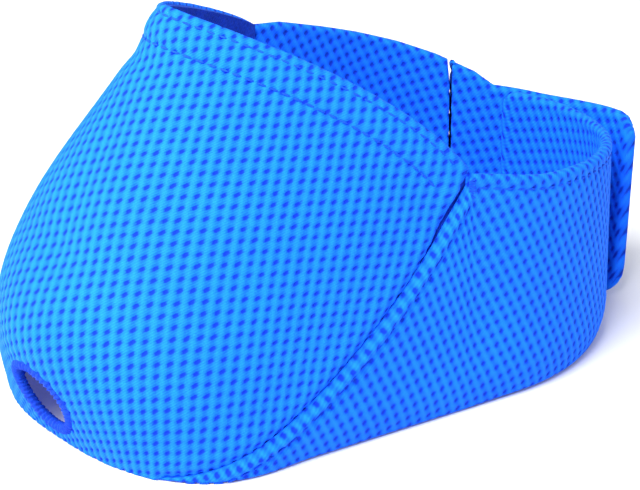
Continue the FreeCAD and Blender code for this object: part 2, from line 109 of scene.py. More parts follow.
def bezier(a: Array, b: Array, c: Array, d: Array, t: Array) -> Array:
    """Points on cubic curves."""
    t = t[..., None]
    return a * (1 - t) ** 3 + b * (3 * t * (1 - t) ** 2) + c * (3 * t * t * (1 - t)) + d * t ** 3


def run_length(points: Array) -> Array:
    """The distance along a row of points, starting at 0."""
    steps = np.linalg.norm(np.diff(points, axis=0), axis=1)
    return np.concatenate([[0.0], np.cumsum(steps)])


def nearest_on(line: Array, points: Array) -> tuple[Array, Array]:
    """How far points lie from a line of points, and how far along it.

    Args:
        line: the line's points, close together.
        points: the points to measure.

    Returns:
        The distance from the line, and the run along it at the nearest place.
    """
    runs = run_length(line)
    distance = np.empty(len(points))
    run = np.empty(len(points))
    for start in range(0, len(points), BLOCK):
        block = points[start:start + BLOCK]
        gaps = np.linalg.norm(block[:, None, :] - line[None, :, :], axis=2)
        best = gaps.argmin(axis=1)
        distance[start:start + BLOCK] = gaps[np.arange(len(block)), best]
        run[start:start + BLOCK] = runs[best]
    return distance, run


# ------------------------------------------------------------------ the head form

@dataclass
class HeadForm:
    """The outer face of the face panel and gussets, as curves from the lower rim to the brim.

    A place on it is (u, w): u from -1 at the right cheek corner through 0 at the nose to 1 at the
    left one, and w from 0 at the rim to 1 at the brim.
    """

    rim_nose: float = 4.7
    rim_depth: float = 35.3
    rim_half: float = 42.5
    rim_power: float = 2.66
    brim_middle: tuple[float, float] = (34.0, 92.0)
    brim_reach: dict[Side, float] = field(default_factory=lambda: {Side.RIGHT: 15.0, Side.LEFT: 11.5})
    brim_pull: dict[Side, tuple[float, float, float]] = field(
        default_factory=lambda: {Side.RIGHT: (-12.4, 6.3, 21.4), Side.LEFT: (-12.6, 5.1, 9.0)})
    corner_x: float = 85.0
    corner_y: dict[Side, float] = field(default_factory=lambda: {Side.RIGHT: 40.7, Side.LEFT: 42.0})
    corner_z: dict[Side, float] = field(default_factory=lambda: {Side.RIGHT: 55.0, Side.LEFT: 67.0})
    nose_low: tuple[float, float] = (-8.3, 46.0)
    nose_top: tuple[float, float] = (22.3, 62.0)
    cheek_low: float = 3.3
    cheek_top: float = 6.0
    cheek_lift: float = 2.0
    snout: float = 5.5
    snout_wide: float = 0.17
    snout_tall: float = 0.42
    snout_round: float = 1.5
    seam_foot: float = 9.5
    seam_middle: tuple[float, float] = (49.0, 18.6)

    def rim(self, s: Array) -> Array:
        """The lower rim, drawn on the right side.

        Args:
            s: places from 0 at the nose to 1 under the cheek corner.

        Returns:
            Points on the rim.
        """
        cheek = self.rim_nose + self.rim_depth
        turn = np.clip(s / 0.5, 0, 1) * math.pi / 2
        reach = np.abs(np.cos(turn) / self.rim_depth) ** self.rim_power
        reach = reach + np.abs(np.sin(turn) / self.rim_half) ** self.rim_power
        radius = reach ** (-1 / self.rim_power)
        straight = s >= 0.5
        x = np.where(straight, cheek + (self.corner_x - cheek) * (s - 0.5) / 0.5, cheek - radius * np.cos(turn))
        y = np.where(straight, -self.rim_half, -radius * np.sin(turn))
        return np.stack([x, y, np.zeros_like(x)], axis=-1)

    def brim(self, s: Array, left: Array) -> Array:
        """The brim's edge, drawn on the right side.

        Args:
            s: places from 0 at the middle to 1 at the cheek corner.
            left: whether each place takes the left side's sizes.

        Returns:
            Points on the edge.
        """
        side_y = np.where(left, self.corner_y[Side.LEFT], self.corner_y[Side.RIGHT])
        side_z = np.where(left, self.corner_z[Side.LEFT], self.corner_z[Side.RIGHT])
        corner = np.stack([np.full_like(s, self.corner_x), -side_y, side_z], axis=-1)
        middle = np.array([self.brim_middle[0], 0.0, self.brim_middle[1]])
        reach = np.where(left, self.brim_reach[Side.LEFT], self.brim_reach[Side.RIGHT])
        leave = middle + np.stack([np.zeros_like(reach), -reach, np.zeros_like(reach)], axis=-1)
        pull = np.where(left[..., None], self.brim_pull[Side.LEFT], self.brim_pull[Side.RIGHT])
        return bezier(middle, leave, corner + pull, corner, s)

    def point(self, u: Array, w: Array) -> Array:
        """Points of the outer face.

        Args:
            u: places across.
            w: places up.

        Returns:
            The points.
        """
        left = u > 0
        s = np.abs(u)
        foot, edge = self.rim(s), self.brim(s, left)
        turn = np.clip(s / 0.5, 0, 1) * math.pi / 2
        outward = np.stack([-np.cos(turn), -np.sin(turn), np.zeros_like(turn)], axis=-1)
        nose_share = (np.cos(s * math.pi / 2) ** 2)[..., None]
        cheek_share = np.sin(s * math.pi)[..., None]
        third = (edge - foot) / 3
        low_pull = np.array([self.nose_low[0] - self.rim_nose, 0.0, self.nose_low[1]])
        top_pull = np.array([self.nose_top[0] - self.brim_middle[0], 0.0,
                             self.nose_top[1] - self.brim_middle[1]])
        low = foot + third * (1 - nose_share) + low_pull * nose_share + outward * self.cheek_low * cheek_share
        top = edge - third * (1 - nose_share) + top_pull * nose_share + outward * self.cheek_top * cheek_share
        top = top + np.array([0.0, 0.0, self.cheek_lift]) * cheek_share
        found = bezier(foot, low, top, edge, w)
        rise = np.sin(math.pi * np.clip(w / self.snout_tall, 0, 1)) ** self.snout_round
        found[..., 0] -= self.snout * np.exp(-(s / self.snout_wide) ** 2) * rise
        found[..., 1] = np.where(left, -found[..., 1], found[..., 1])
        return found

    def normal(self, u: Array, w: Array) -> Array:
        """The outward direction.

        Args:
            u: places across.
            w: places up.

        Returns:
            A direction of length one at each place.
        """
        step = 0.004
        across = self.point(np.clip(u + step, -1, 1), w) - self.point(np.clip(u - step, -1, 1), w)
        up = self.point(u, np.clip(w + step, 0, 1)) - self.point(u, np.clip(w - step, 0, 1))
        return unit(np.cross(up, across))

    def seam_circle(self, side: Side) -> tuple[float, float, float]:
        """The cheek seam in side view, an arc through its foot, its middle and the cheek corner.

        Args:
            side: which cheek.

        Returns:
            The arc's centre x, centre z and radius.
        """
        ax, az = self.seam_foot, 0.0
        bx, bz = self.seam_middle
        cx, cz = self.corner_x, self.corner_z[side]
        d = 2 * (ax * (bz - cz) + bx * (cz - az) + cx * (az - bz))
        sa, sb, sc = ax * ax + az * az, bx * bx + bz * bz, cx * cx + cz * cz
        x = (sa * (bz - cz) + sb * (cz - az) + sc * (az - bz)) / d
        z = (sa * (cx - bx) + sb * (ax - cx) + sc * (bx - ax)) / d
        return x, z, math.hypot(ax - x, az - z)

    def below_seam(self, points: Array) -> Array:
        """How far points lie below the cheek seam, square to it.

        Args:
            points: points on or near the head form.

        Returns:
            The distances, negative above the seam.
        """
        result = np.empty(points.shape[:-1])
        for side in Side:
            x, z, radius = self.seam_circle(side)
            here = (points[..., 1] > 0) == (side is Side.LEFT)
            reach = np.hypot(points[..., 0] - x, points[..., 2] - z) - radius
            result = np.where(here, reach, result)
        return result

    def seam_w(self, u: Array, below: float = 0.0) -> Array:
        """Where each column meets the cheek seam, or a line parallel to it.

        Args:
            u: places across.
            below: distance of the line below the seam.

        Returns:
            The w of each meeting place.
        """
        low, high = np.zeros_like(u), np.ones_like(u)
        for _ in range(HALVINGS):
            middle = (low + high) / 2
            under = self.below_seam(self.point(u, middle)) > below
            low = np.where(under, middle, low)
            high = np.where(under, high, middle)
        return high


HEAD = HeadForm()


# ------------------------------------------------------------------ cloth

class FlatPattern:
    """The flat cut of a curved cloth, laid out with as little stretch as the curve allows."""

    anchor = 1e-6          # a slight hold on every point, so that the layout doesn't drift
    aim_rounds = 10        # rounds of the search for a flat place in the grid

    def __init__(self, points: Array, rounds: int = 60) -> None:
        """Lay the cloth flat.

        Args:
            points: a grid of points on the curved cloth, columns by rows by 3.
            rounds: how often the layout is relaxed.
        """
        columns, rows = points.shape[:2]
        self.size = (columns, rows)
        number = np.arange(columns * rows).reshape(columns, rows)
        a, b = number[:-1, :-1].ravel(), number[1:, :-1].ravel()
        c, d = number[1:, 1:].ravel(), number[:-1, 1:].ravel()
        faces = np.concatenate([np.stack([a, b, c], 1), np.stack([a, c, d], 1)])
        body = points.reshape(-1, 3)
        edge_1, edge_2 = body[faces[:, 1]] - body[faces[:, 0]], body[faces[:, 2]] - body[faces[:, 0]]
        base = np.maximum(np.linalg.norm(edge_1, axis=1), 1e-6)
        along = (edge_1 * edge_2).sum(1) / base
        off = np.linalg.norm(np.cross(edge_1, edge_2), axis=1) / base
        local = np.zeros((len(faces), 3, 2))
        local[:, 1, 0] = base
        local[:, 2, 0], local[:, 2, 1] = along, np.maximum(off, 1e-4)
        flat = self._first_layout(points).reshape(-1, 2)
        weights = []
        for corner in range(3):
            p, q = local[:, (corner + 1) % 3] - local[:, corner], local[:, (corner + 2) % 3] - local[:, corner]
            twist = np.abs(p[:, 0] * q[:, 1] - p[:, 1] * q[:, 0])
            weights.append(np.clip((p * q).sum(1) / np.maximum(twist, 1e-9), 0.02, 20))
        total = np.eye(len(body)) * self.anchor
        pairs = [((corner + 1) % 3, (corner + 2) % 3, weights[corner]) for corner in range(3)]
        for p, q, weight in pairs:
            i, j = faces[:, p], faces[:, q]
            np.add.at(total, (i, i), weight)
            np.add.at(total, (j, j), weight)
            np.add.at(total, (i, j), -weight)
            np.add.at(total, (j, i), -weight)
        solver = np.linalg.inv(total)
        for _ in range(rounds):
            cos_sum, sin_sum = np.zeros(len(faces)), np.zeros(len(faces))
            for p, q, weight in pairs:
                rest, now = local[:, q] - local[:, p], flat[faces[:, q]] - flat[faces[:, p]]
                cos_sum += weight * (rest * now).sum(1)
                sin_sum += weight * (rest[:, 0] * now[:, 1] - rest[:, 1] * now[:, 0])
            turn = np.arctan2(sin_sum, cos_sum)
            cos_turn, sin_turn = np.cos(turn), np.sin(turn)
            pull = flat * self.anchor
            for p, q, weight in pairs:
                rest = local[:, q] - local[:, p]
                turned = np.stack([cos_turn * rest[:, 0] - sin_turn * rest[:, 1],
                                   sin_turn * rest[:, 0] + cos_turn * rest[:, 1]], 1) * weight[:, None]
                np.add.at(pull, faces[:, q], turned)
                np.add.at(pull, faces[:, p], -turned)
            flat = solver @ pull
        self.flat = flat.reshape(columns, rows, 2)
        first, second = flat[faces[:, 1]] - flat[faces[:, 0]], flat[faces[:, 2]] - flat[faces[:, 0]]
        self.area = float(np.abs(first[:, 0] * second[:, 1] - first[:, 1] * second[:, 0]).sum() / 2)

    @staticmethod
    def _first_layout(points: Array) -> Array:
        """A rough layout: across by the run from the middle column, up by the run from the top row.

        Args:
            points: the grid of points on the curved cloth.

        Returns:
            A flat place for each.
        """
        columns, rows = points.shape[:2]
        across = np.linalg.norm(np.diff(points, axis=0), axis=2)
        across = np.concatenate([np.zeros((1, rows)), np.cumsum(across, axis=0)])
        across = across - across[columns // 2]
        up = np.linalg.norm(np.diff(points, axis=1), axis=2)
        up = np.concatenate([np.zeros((columns, 1)), np.cumsum(up, axis=1)], axis=1)
        up = up - up[:, -1:]
        return np.stack([across, up], axis=2)

    def locate(self, places: Array) -> tuple[Array, Array]:
        """Grid coordinates of flat places.

        Args:
            places: flat points, N by 2.

        Returns:
            The fractional column and row of each.
        """
        columns, rows = self.size
        body = self.flat.reshape(-1, 2)
        first = np.empty(len(places), int)
        for start in range(0, len(places), BLOCK):
            block = places[start:start + BLOCK]
            gaps = ((block[:, None, :] - body[None, :, :]) ** 2).sum(2)
            first[start:start + BLOCK] = gaps.argmin(axis=1)
        i, j = (first // rows).astype(float), (first % rows).astype(float)
        for _ in range(self.aim_rounds):
            i0 = np.clip(np.floor(i), 0, columns - 2).astype(int)
            j0 = np.clip(np.floor(j), 0, rows - 2).astype(int)
            a, b = (i - i0)[:, None], (j - j0)[:, None]
            p00, p10 = self.flat[i0, j0], self.flat[i0 + 1, j0]
            p01, p11 = self.flat[i0, j0 + 1], self.flat[i0 + 1, j0 + 1]
            now = p00 * (1 - a) * (1 - b) + p10 * a * (1 - b) + p01 * (1 - a) * b + p11 * a * b
            by_i = (p10 - p00) * (1 - b) + (p11 - p01) * b
            by_j = (p01 - p00) * (1 - a) + (p11 - p10) * a
            miss = places - now
            twist = by_i[:, 0] * by_j[:, 1] - by_i[:, 1] * by_j[:, 0]
            twist = np.where(np.abs(twist) < 1e-9, 1e-9, twist)
            i = i + np.clip((miss[:, 0] * by_j[:, 1] - miss[:, 1] * by_j[:, 0]) / twist, -2, 2)
            j = j + np.clip((by_i[:, 0] * miss[:, 1] - by_i[:, 1] * miss[:, 0]) / twist, -2, 2)
            i, j = np.clip(i, 0, columns - 1), np.clip(j, 0, rows - 1)
        return i, j


@dataclass(frozen=True)
class Weave:
    """The knit of the mesh: one slanting pit at every point of a skewed lattice.

    The lattice vectors are whole numbers of mesh steps, so every pit is sampled alike.
    """

    step: float = 0.6
    across: tuple[int, int] = (4, 2)
    down: tuple[int, int] = (1, -4)
    depth: float = 0.42
    sharp: float = 1.7

    def lattice(self, x: Array, y: Array) -> tuple[Array, Array]:
        """Lattice coordinates of flat places.

        Args:
            x: places across, in millimetres.
            y: places up.

        Returns:
            How many pits across and down each lies.
        """
        (ax, ay), (bx, by) = self.across, self.down
        twist = (ax * by - ay * bx) * self.step
        return (x * by - y * bx) / twist, (y * ax - x * ay) / twist

    def relief(self, m: Array, n: Array) -> Array:
        """The height of the knit's face: ridges above zero, pits below.

        Args:
            m: lattice coordinates across.
            n: lattice coordinates down.

        Returns:
            The heights, in millimetres.
        """
        full = 2 * math.pi
        drop = sum(weight * (np.cos(full * turns) - 1) for weight, turns in zip(PIT_WEIGHTS, (m, n, m + n)))
        pit = np.exp(self.sharp * drop)
        ridge = 0.5 - 0.5 * np.cos(full * m)
        return self.depth * (0.25 + 0.25 * ridge - pit)


FACE_WEAVE = Weave()
STRAP_WEAVE = Weave(across=(4, 1), down=(2, -4), depth=0.34)
Place = Callable[[Array, Array], tuple[Array, Array, Array]]


class Shop:
    """Makes finished objects from shapes in millimetres."""

    @staticmethod
    def metres(points: Array) -> Array:
        """Points moved into the frame, in metres."""
        return (points - np.array([NOSE_TO_ORIGIN, 0.0, 0.0])) * MM

    @staticmethod
    def finish(name: str, bm: bmesh.types.BMesh, material: bpy.types.Material) -> bpy.types.Object:
        """A smooth-shaded object from a bmesh.

        Args:
            name: the object's name.
            bm: its shape, which is used up.
            material: its material.

        Returns:
            The new object.
        """
        mesh = bpy.data.meshes.new(name)
        bm.to_mesh(mesh)
        bm.free()
        mesh.polygons.foreach_set("use_smooth", [True] * len(mesh.polygons))
        mesh.materials.append(material)
        piece = bpy.data.objects.new(name, mesh)
        bpy.context.scene.collection.objects.link(piece)
        return piece

    @classmethod
    def sheet(cls, name: str, columns: int, rows: int, place: Place, material: bpy.types.Material,
              closed: bool = False) -> bpy.types.Object:
        """A knitted sheet: a plain grid whose every point is moved to its place on the cloth.

        Args:
            name: the object's name.
            columns: squares across.
            rows: squares up.
            place: turns column and row numbers into points, lattice coordinates and a keep mask.
            material: the cloth's material.
            closed: the sheet is a closed tube, so its faces are turned outward together.

        Returns:
            The new object, whose UV map holds the lattice coordinates.
        """
        bm = bmesh.new()
        bmesh.ops.create_grid(bm, x_segments=columns, y_segments=rows, size=1.0)
        bm.verts.ensure_lookup_table()
        flat = np.array([v.co[:2] for v in bm.verts])
        i = np.rint((flat[:, 0] + 1) / 2 * columns)
        j = np.rint((flat[:, 1] + 1) / 2 * rows)
        points, knit, keep = place(i, j)
        points = cls.metres(points)
        for vert, point in zip(bm.verts, points):
            vert.co = point
        layer = bm.loops.layers.uv.new("knit")
        for face in bm.faces:
            for loop in face.loops:
                loop[layer].uv = knit[loop.vert.index]
        drop = [v for v, stays in zip(bm.verts, keep) if not stays]
        if drop:
            bmesh.ops.delete(bm, geom=drop, context="VERTS")
        bmesh.ops.remove_doubles(bm, verts=bm.verts, dist=1e-6)
        bmesh.ops.dissolve_degenerate(bm, edges=bm.edges, dist=1e-6)
        loose = [v for v in bm.verts if not v.link_faces]
        if loose:
            bmesh.ops.delete(bm, geom=loose, context="VERTS")
        if closed:
            rims = [edge for edge in bm.edges if edge.is_boundary]
            caps = bmesh.ops.holes_fill(bm, edges=rims, sides=0)["faces"] if rims else []
            bmesh.ops.triangulate(bm, faces=caps)
            bmesh.ops.recalc_face_normals(bm, faces=bm.faces)
        return cls.finish(name, bm, material)

    @classmethod
    def stitches(cls, name: str, centres: Array, heads: Array, ups: Array, material: bpy.types.Material,
                 length: float = 2.3, radius: float = 0.27) -> bpy.types.Object:
        """Separate stitches: one small rounded float of thread at each place.

        Args:
            name: the object's name.
            centres: the middle of each stitch.
            heads: the direction that each runs in.
            ups: the direction that each faces.
            material: the thread's material.
            length: length of a stitch.
            radius: half its width.

        Returns:
            The new object.
        """
        bm = bmesh.new()
        for centre, head, up in zip(cls.metres(centres), unit(heads), unit(ups)):
            side = np.cross(up, head)
            turn = Matrix((head, side, np.cross(head, side))).transposed().to_4x4()
            size = Matrix.Diagonal((length / 2 * MM, radius * MM, radius * 0.8 * MM, 1.0))
            bmesh.ops.create_uvsphere(bm, u_segments=7, v_segments=5, radius=1.0,
                                      matrix=Matrix.Translation(centre) @ turn @ size)
        return cls.finish(name, bm, material)


# ------------------------------------------------------------------ the nose hole

@dataclass
class NoseHole:
    """The bound opening low on the nose: an ellipse that faces forward and down."""

    half_wide: float = 8.4
    half_tall: float = 7.4
    height: float = 9.6
    tilt: float = math.radians(28.0)
    binding: float = 1.0
    reach: float = 14.0
    ring_rounds: int = 30

    def __post_init__(self) -> None:
        """Work out the ellipse's middle and its upward direction."""
        middle = HEAD.point(np.array([0.0]), np.array([0.12]))[0]
        self.middle = np.array([middle[0], 0.0, self.height])
        self.rise = np.array([-math.sin(self.tilt), 0.0, math.cos(self.tilt)])

    def spread(self, points: Array, grow: float = 0.0) -> Array:
        """How far out points lie from the middle of the hole.

        Args:
            points: points on or near the head form.
            grow: how much larger the ellipse is taken.

        Returns:
            The distances as shares of the ellipse, 1 on its edge.
        """
        away = points - self.middle
        share = np.hypot(away[..., 1] / (self.half_wide + grow), (away @ self.rise) / (self.half_tall + grow))
        return np.where(points[..., 0] < self.middle[0] + self.reach, share, np.inf)

    def ring(self, count: int, grow: float) -> tuple[Array, Array]:
        """Points of the head form round the hole.

        Args:
            count: how many.
            grow: how far outside the ellipse.

        Returns:
            The points, and the outward direction at each.
        """
        turn = np.arange(count) / count * 2 * math.pi
        wide, tall = self.half_wide + grow, self.half_tall + grow
        goal = np.stack([wide * np.cos(turn), tall * np.sin(turn)], 1)
        u, w = goal[:, 0] / 130, 0.1 + goal[:, 1] / 90
        step = 1e-3
        for _ in range(self.ring_rounds):
            here = self._plane(u, w)
            by_u, by_w = (self._plane(u + step, w) - here) / step, (self._plane(u, w + step) - here) / step
            miss = goal - here
            twist = by_u[:, 0] * by_w[:, 1] - by_u[:, 1] * by_w[:, 0]
            u = u + np.clip((miss[:, 0] * by_w[:, 1] - miss[:, 1] * by_w[:, 0]) / twist, -0.05, 0.05)
            w = w + np.clip((by_u[:, 0] * miss[:, 1] - by_u[:, 1] * miss[:, 0]) / twist, -0.05, 0.05)
            w = np.clip(w, 0.004, 0.6)
        return HEAD.point(u, w), HEAD.normal(u, w)

    def _plane(self, u: Array, w: Array) -> Array:
        """Places on the head form, seen square to the hole."""
        away = HEAD.point(u, w) - self.middle
        return np.stack([away[:, 1], away @ self.rise], 1)


HOLE = NoseHole()


@dataclass
class HoleEdging:
    """The overlocked yarn round the nose hole: a ring whose wraps run round it on a slant."""

    columns: int = 420
    rows: int = 20
    grow: float = 1.0
    radius: float = 1.15
    flatness: float = 0.9
    sink: float = 0.65
    wraps: int = 46
    wrap_height: float = 0.16
    frizz_height: float = 0.07

    def make(self, yarn: bpy.types.Material) -> bpy.types.Object:
        """Wind the ring.

        Args:
            yarn: the yarn's material.

        Returns:
            The new object.
        """
        ring, normal = HOLE.ring(self.columns, self.grow)
        along = unit(np.roll(ring, -1, axis=0) - np.roll(ring, 1, axis=0))
        out = np.cross(along, normal)
        out = out * np.sign(((ring - HOLE.middle) * out).sum(1))[:, None]

        def place(i: Array, j: Array) -> tuple[Array, Array, Array]:
            """Ring and tube numbers to points, coordinates and a keep mask."""
            k = i.astype(int) % self.columns
            turn = j / self.rows * 2 * math.pi
            wrap = np.cos(2 * math.pi * self.wraps * i / self.columns + turn)
            frizz = np.sin(i * 12.9898 + j * 78.233) * 43758.5453      # an even scatter without a seed
            radius = self.radius * (1 + self.wrap_height * wrap + self.frizz_height * (frizz - np.floor(frizz)))
            away = out[k] * np.cos(turn)[:, None] + normal[k] * np.sin(turn)[:, None] * self.flatness
            points = ring[k] + away * radius[:, None]
            points = points - normal[k] * self.sink
            points[:, 2] = np.maximum(points[:, 2], 0.0)
            return points, np.stack([i / 4, j / 4], 1), np.ones(len(i), bool)

        return Shop.sheet("nose_hole_edging", self.columns, self.rows, place, yarn, closed=True)


# ------------------------------------------------------------------ the face panel

@dataclass
class FaceCup:
    """The domed face panel with its turned brim, its binding and its rows of stitching."""

    cloth: float = 1.3
    tip: float = 0.985
    edge_row: float = 2.0
    hem_row: float = 8.4
    roll: float = 1.2
    pitch: float = 3.0
    edge_sink: float = 0.40
    edge_reach: float = 0.62
    hem_sink: float = 0.48
    hem_reach: float = 0.75
    hem_puff: float = 0.45
    waist: float = 0.55
    waist_drop: float = 12.5
    waist_reach: float = 3.2
    seam_sink: float = 1.1
    seam_reach: float = 1.15
    seam_beat: float = 0.2
    seam_puff: float = 0.3
    seam_puff_at: float = 3.2
    seam_puff_reach: float = 1.6
    hole_sink: float = 0.5
    hole_reach: float = 0.10
    middle: tuple[float, float, float] = (0.0, 0.0, 0.035)
    columns: int = 60
    rows: int = 24
    line_points: int = 900
    seam_points: int = 500
    hole_margin: float = 0.075

    def surface(self, u: Array, w: Array, brim: tuple[Array, Array], seam: tuple[Array, Array]) -> Array:
        """How far the sewn cloth stands off the plain head form.

        Args:
            u: places across.
            w: places up.
            brim: distance from the brim's edge and run along it.
            seam: distance from the cheek seam and run along it.

        Returns:
            The height at each place, outward positive.
        """
        drop, run = brim
        pull = beat(run, self.pitch)
        height = -self.edge_sink * hump(drop, self.edge_row, self.edge_reach) * pull
        height -= self.hem_sink * hump(drop, self.hem_row, self.hem_reach) * pull
        band = np.clip((drop - self.edge_row) / (self.hem_row - self.edge_row), 0, 1)
        height += self.hem_puff * np.sin(math.pi * band)
        inner = np.clip(self.roll - drop, 0, self.roll)
        height -= self.roll - np.sqrt(np.maximum(self.roll ** 2 - inner ** 2, 0))
        height -= self.waist * hump(drop, self.waist_drop, self.waist_reach)
        away, along = seam
        height -= self.seam_sink * hump(away, 0.0, self.seam_reach) * beat(along, self.pitch, self.seam_beat)
        height += self.seam_puff * hump(away, self.seam_puff_at, self.seam_puff_reach)
        return height

    def make_panel(self, cloth: bpy.types.Material) -> bpy.types.Object:
        """The panel: cut flat, knitted on its own lattice and laid over the head form.

        Args:
            cloth: the cloth's material.

        Returns:
            The new object.
        """
        u_grid = np.linspace(-self.tip, self.tip, self.columns + 1)
        low = HEAD.seam_w(u_grid)
        share = np.linspace(0, 1, self.rows + 1)
        w_grid = low[:, None] + (1 - low[:, None]) * share[None, :]
        coarse = HEAD.point(np.repeat(u_grid[:, None], self.rows + 1, 1), w_grid)
        pattern = FlatPattern(coarse[::-1])
        self.area = pattern.area
        self.pattern, self.u_grid, self.low = pattern, u_grid, low
        top, bottom = pattern.flat[:, -1], pattern.flat[:, 0]
        log.info("face panel cut %.0f x %.0f mm, %.0f mm2", np.ptp(pattern.flat[..., 0]),
                 np.ptp(pattern.flat[..., 1]), pattern.area)
        self.cut = (float(np.ptp(pattern.flat[..., 0])), float(np.ptp(pattern.flat[..., 1])))
        step = FACE_WEAVE.step
        x_low, x_high = top[0, 0], top[-1, 0]
        first, last = math.ceil(x_low / step), math.floor(x_high / step)
        y_first = math.floor(bottom[:, 1].min() / step) - 1
        y_last = math.ceil(top[:, 1].max() / step) + 1
        fine = np.linspace(0, 1, self.line_points)
        marks = np.linspace(0, 1, len(top))
        brim_line = np.stack([np.interp(fine, marks, top[:, k]) for k in range(2)], 1)
        self.brim_line = brim_line
        sewn = bottom[low[::-1] > 1e-3]
        lines = []
        for half in (sewn[sewn[:, 0] < 0], sewn[sewn[:, 0] > 0]):
            marks_half = np.linspace(0, 1, len(half))
            part = fine[:self.seam_points] / fine[self.seam_points - 1]
            lines.append(np.stack([np.interp(part, marks_half, half[:, k]) for k in range(2)], 1))

        def place(i: Array, j: Array) -> tuple[Array, Array, Array]:
            """Grid numbers to points, lattice coordinates and a keep mask."""
            x, y = (i + first) * step, (j + y_first) * step
            y_low = np.interp(x, bottom[:, 0], bottom[:, 1])
            y_high = np.interp(x, top[:, 0], top[:, 1])
            y = np.clip(y, np.minimum(y_low, y_high), y_high)
            flat = np.stack([x, y], 1)
            u, w = self.lay(flat)
            brim = nearest_on(brim_line, flat)
            right, left = nearest_on(lines[1], flat), nearest_on(lines[0], flat)
            nearer = right[0] < left[0]
            seam = (np.where(nearer, right[0], left[0]), np.where(nearer, right[1], left[1]))
            m, n = FACE_WEAVE.lattice(x, y)
            plain = HEAD.point(u, w)
            spread = HOLE.spread(plain, HOLE.binding)
            keep = spread > 1 - self.hole_margin
            fade = smooth(brim[0], 0.2, 1.4) * smooth(seam[0], 0.0, 1.0) * smooth(spread, 1.0, 1.12)
            height = self.surface(u, w, brim, seam) + FACE_WEAVE.relief(m, n) * fade
            height -= self.hole_sink * hump(spread, 1.0, self.hole_reach)
            points = plain + HEAD.normal(u, w) * height[:, None]
            inside = (spread < 1) & keep
            away = plain - HOLE.middle
            push = np.where(inside, 1 / np.maximum(spread, 0.5) - 1, 0.0)
            points[:, 1] += push * away[:, 1]
            points += (push * (away @ HOLE.rise))[:, None] * HOLE.rise
            points[:, 2] = np.maximum(points[:, 2], 0.0)
            return points, np.stack([m, n], 1), keep

        piece = Shop.sheet("face_panel_cloth", last - first, y_last - y_first, place, cloth)
        turn_outward(piece, Vector(self.middle))
        thicken(piece, self.cloth)
        return piece


    def lay(self, flat: Array) -> tuple[Array, Array]:
        """Head form coordinates of places on the flat cut.

        Args:
            flat: the flat places.

        Returns:
            The u and w of each.
        """
        column, row = self.pattern.locate(flat)
        u = self.tip - column / self.columns * 2 * self.tip
        foot = np.interp(u, self.u_grid, self.low)
        return u, foot + (1 - foot) * row / self.rows

    def row(self, drop: float, sink: float) -> tuple[Array, Array, Array]:
        """Stitch places along the brim.

        Args:
            drop: distance below the brim's edge.
            sink: how far the thread's middle lies below the plain head form.

        Returns:
            The stitches' centres, headings and outward directions.
        """
        runs = run_length(self.brim_line)
        step = FACE_WEAVE.step
        at = np.arange(1, math.floor(runs[-1] / self.pitch)) * self.pitch
        here, there = (np.stack([np.interp(run, runs, self.brim_line[:, k]) for k in range(2)], 1)
                       for run in (at, at + step))
        ahead = unit(there - here)
        inward = np.stack([ahead[:, 1], -ahead[:, 0]], 1)
        start = here + inward * drop
        u, w = self.lay(start)
        u_next, w_next = self.lay(start + ahead * step)
        centre, normal = HEAD.point(u, w), HEAD.normal(u, w)
        return centre - normal * sink, HEAD.point(u_next, w_next) - centre, normal


def turn_outward(piece: bpy.types.Object, middle: Vector) -> None:
    """Turn an open sheet's faces so that they point away from a place inside it.

    Args:
        piece: the sheet's object.
        middle: the place.
    """
    mesh = piece.data
    centres = np.array([tuple(p.center) for p in mesh.polygons])
    normals = np.array([tuple(p.normal) for p in mesh.polygons])
    if ((centres - np.array(middle)) * normals).sum() < 0:
        mesh.flip_normals()


def thicken(piece: bpy.types.Object, thickness: float) -> None:
    """Give a sheet its thickness, inward."""
    solid = piece.modifiers.new("thickness", "SOLIDIFY")
    solid.thickness = thickness * MM
    solid.offset = -1.0


# ------------------------------------------------------------------ the side pieces

@dataclass(frozen=True)
class Bend:
    """One arc of a strap in plan; angles in degrees, radius to the outer face."""

    x: float
    y: float
    radius: float
    start: float
    end: float

    @property
    def length(self) -> float:
        """Length along the outer face."""
        return self.radius * abs(math.radians(self.end - self.start))

    def at(self, run: Array) -> tuple[Array, Array, Array]:
        """Plan points after a run along the arc.

        Args:
            run: distances from the arc's start.

        Returns:
            The points' x and y, and the outward angle at each.
        """
        sign = math.copysign(1.0, self.end - self.start)
        angle = math.radians(self.start) + sign * run / self.radius
        return self.x + self.radius * np.cos(angle), self.y + self.radius * np.sin(angle), angle


@dataclass
class NeckPlan:
    """The closed neck loop seen from above, for both straps."""

    leave_x: float = 98.0
    first: float = 54.0
    turn: float = 41.0
    last: float = 37.5
    lap: float = 4.7
    right_end: float = 30.0
    tab_joint: float = 50.0
    tab_end: float = -15.0

    def __post_init__(self) -> None:
        """Work out the three centres from the half width and the radii."""
        half, angle = HEAD.rim_half, math.radians(self.turn)
        bend_y = -half + self.first - self.first * math.cos(angle)
        bend_x = self.leave_x + self.first * math.sin(angle)
        self.second = -bend_y / math.cos(angle)
        self.back_x = bend_x - self.second * math.sin(angle)
        self.side_x = self.back_x + self.second - self.last

    def right(self) -> list[Bend]:
        """The right strap: round the back to its end inside the left strap."""
        return [Bend(self.leave_x, self.first - HEAD.rim_half, self.first, -90.0, -90.0 + self.turn),
                Bend(self.back_x, 0.0, self.second, -90.0 + self.turn, 0.0),
                Bend(self.side_x, 0.0, self.last, 0.0, self.right_end)]

    def left(self) -> list[Bend]:
        """The left strap up to the tab."""
        return [Bend(self.side_x, 0.0, self.last + self.lap, 90.0, self.tab_joint)]

    def tab(self) -> list[Bend]:
        """The closure tab, round the back and past the middle."""
        return [Bend(self.side_x, 0.0, self.last + self.lap, self.tab_joint, 0.0),
                Bend(self.back_x, 0.0, self.second + self.lap, 0.0, self.tab_end)]


NECK = NeckPlan()


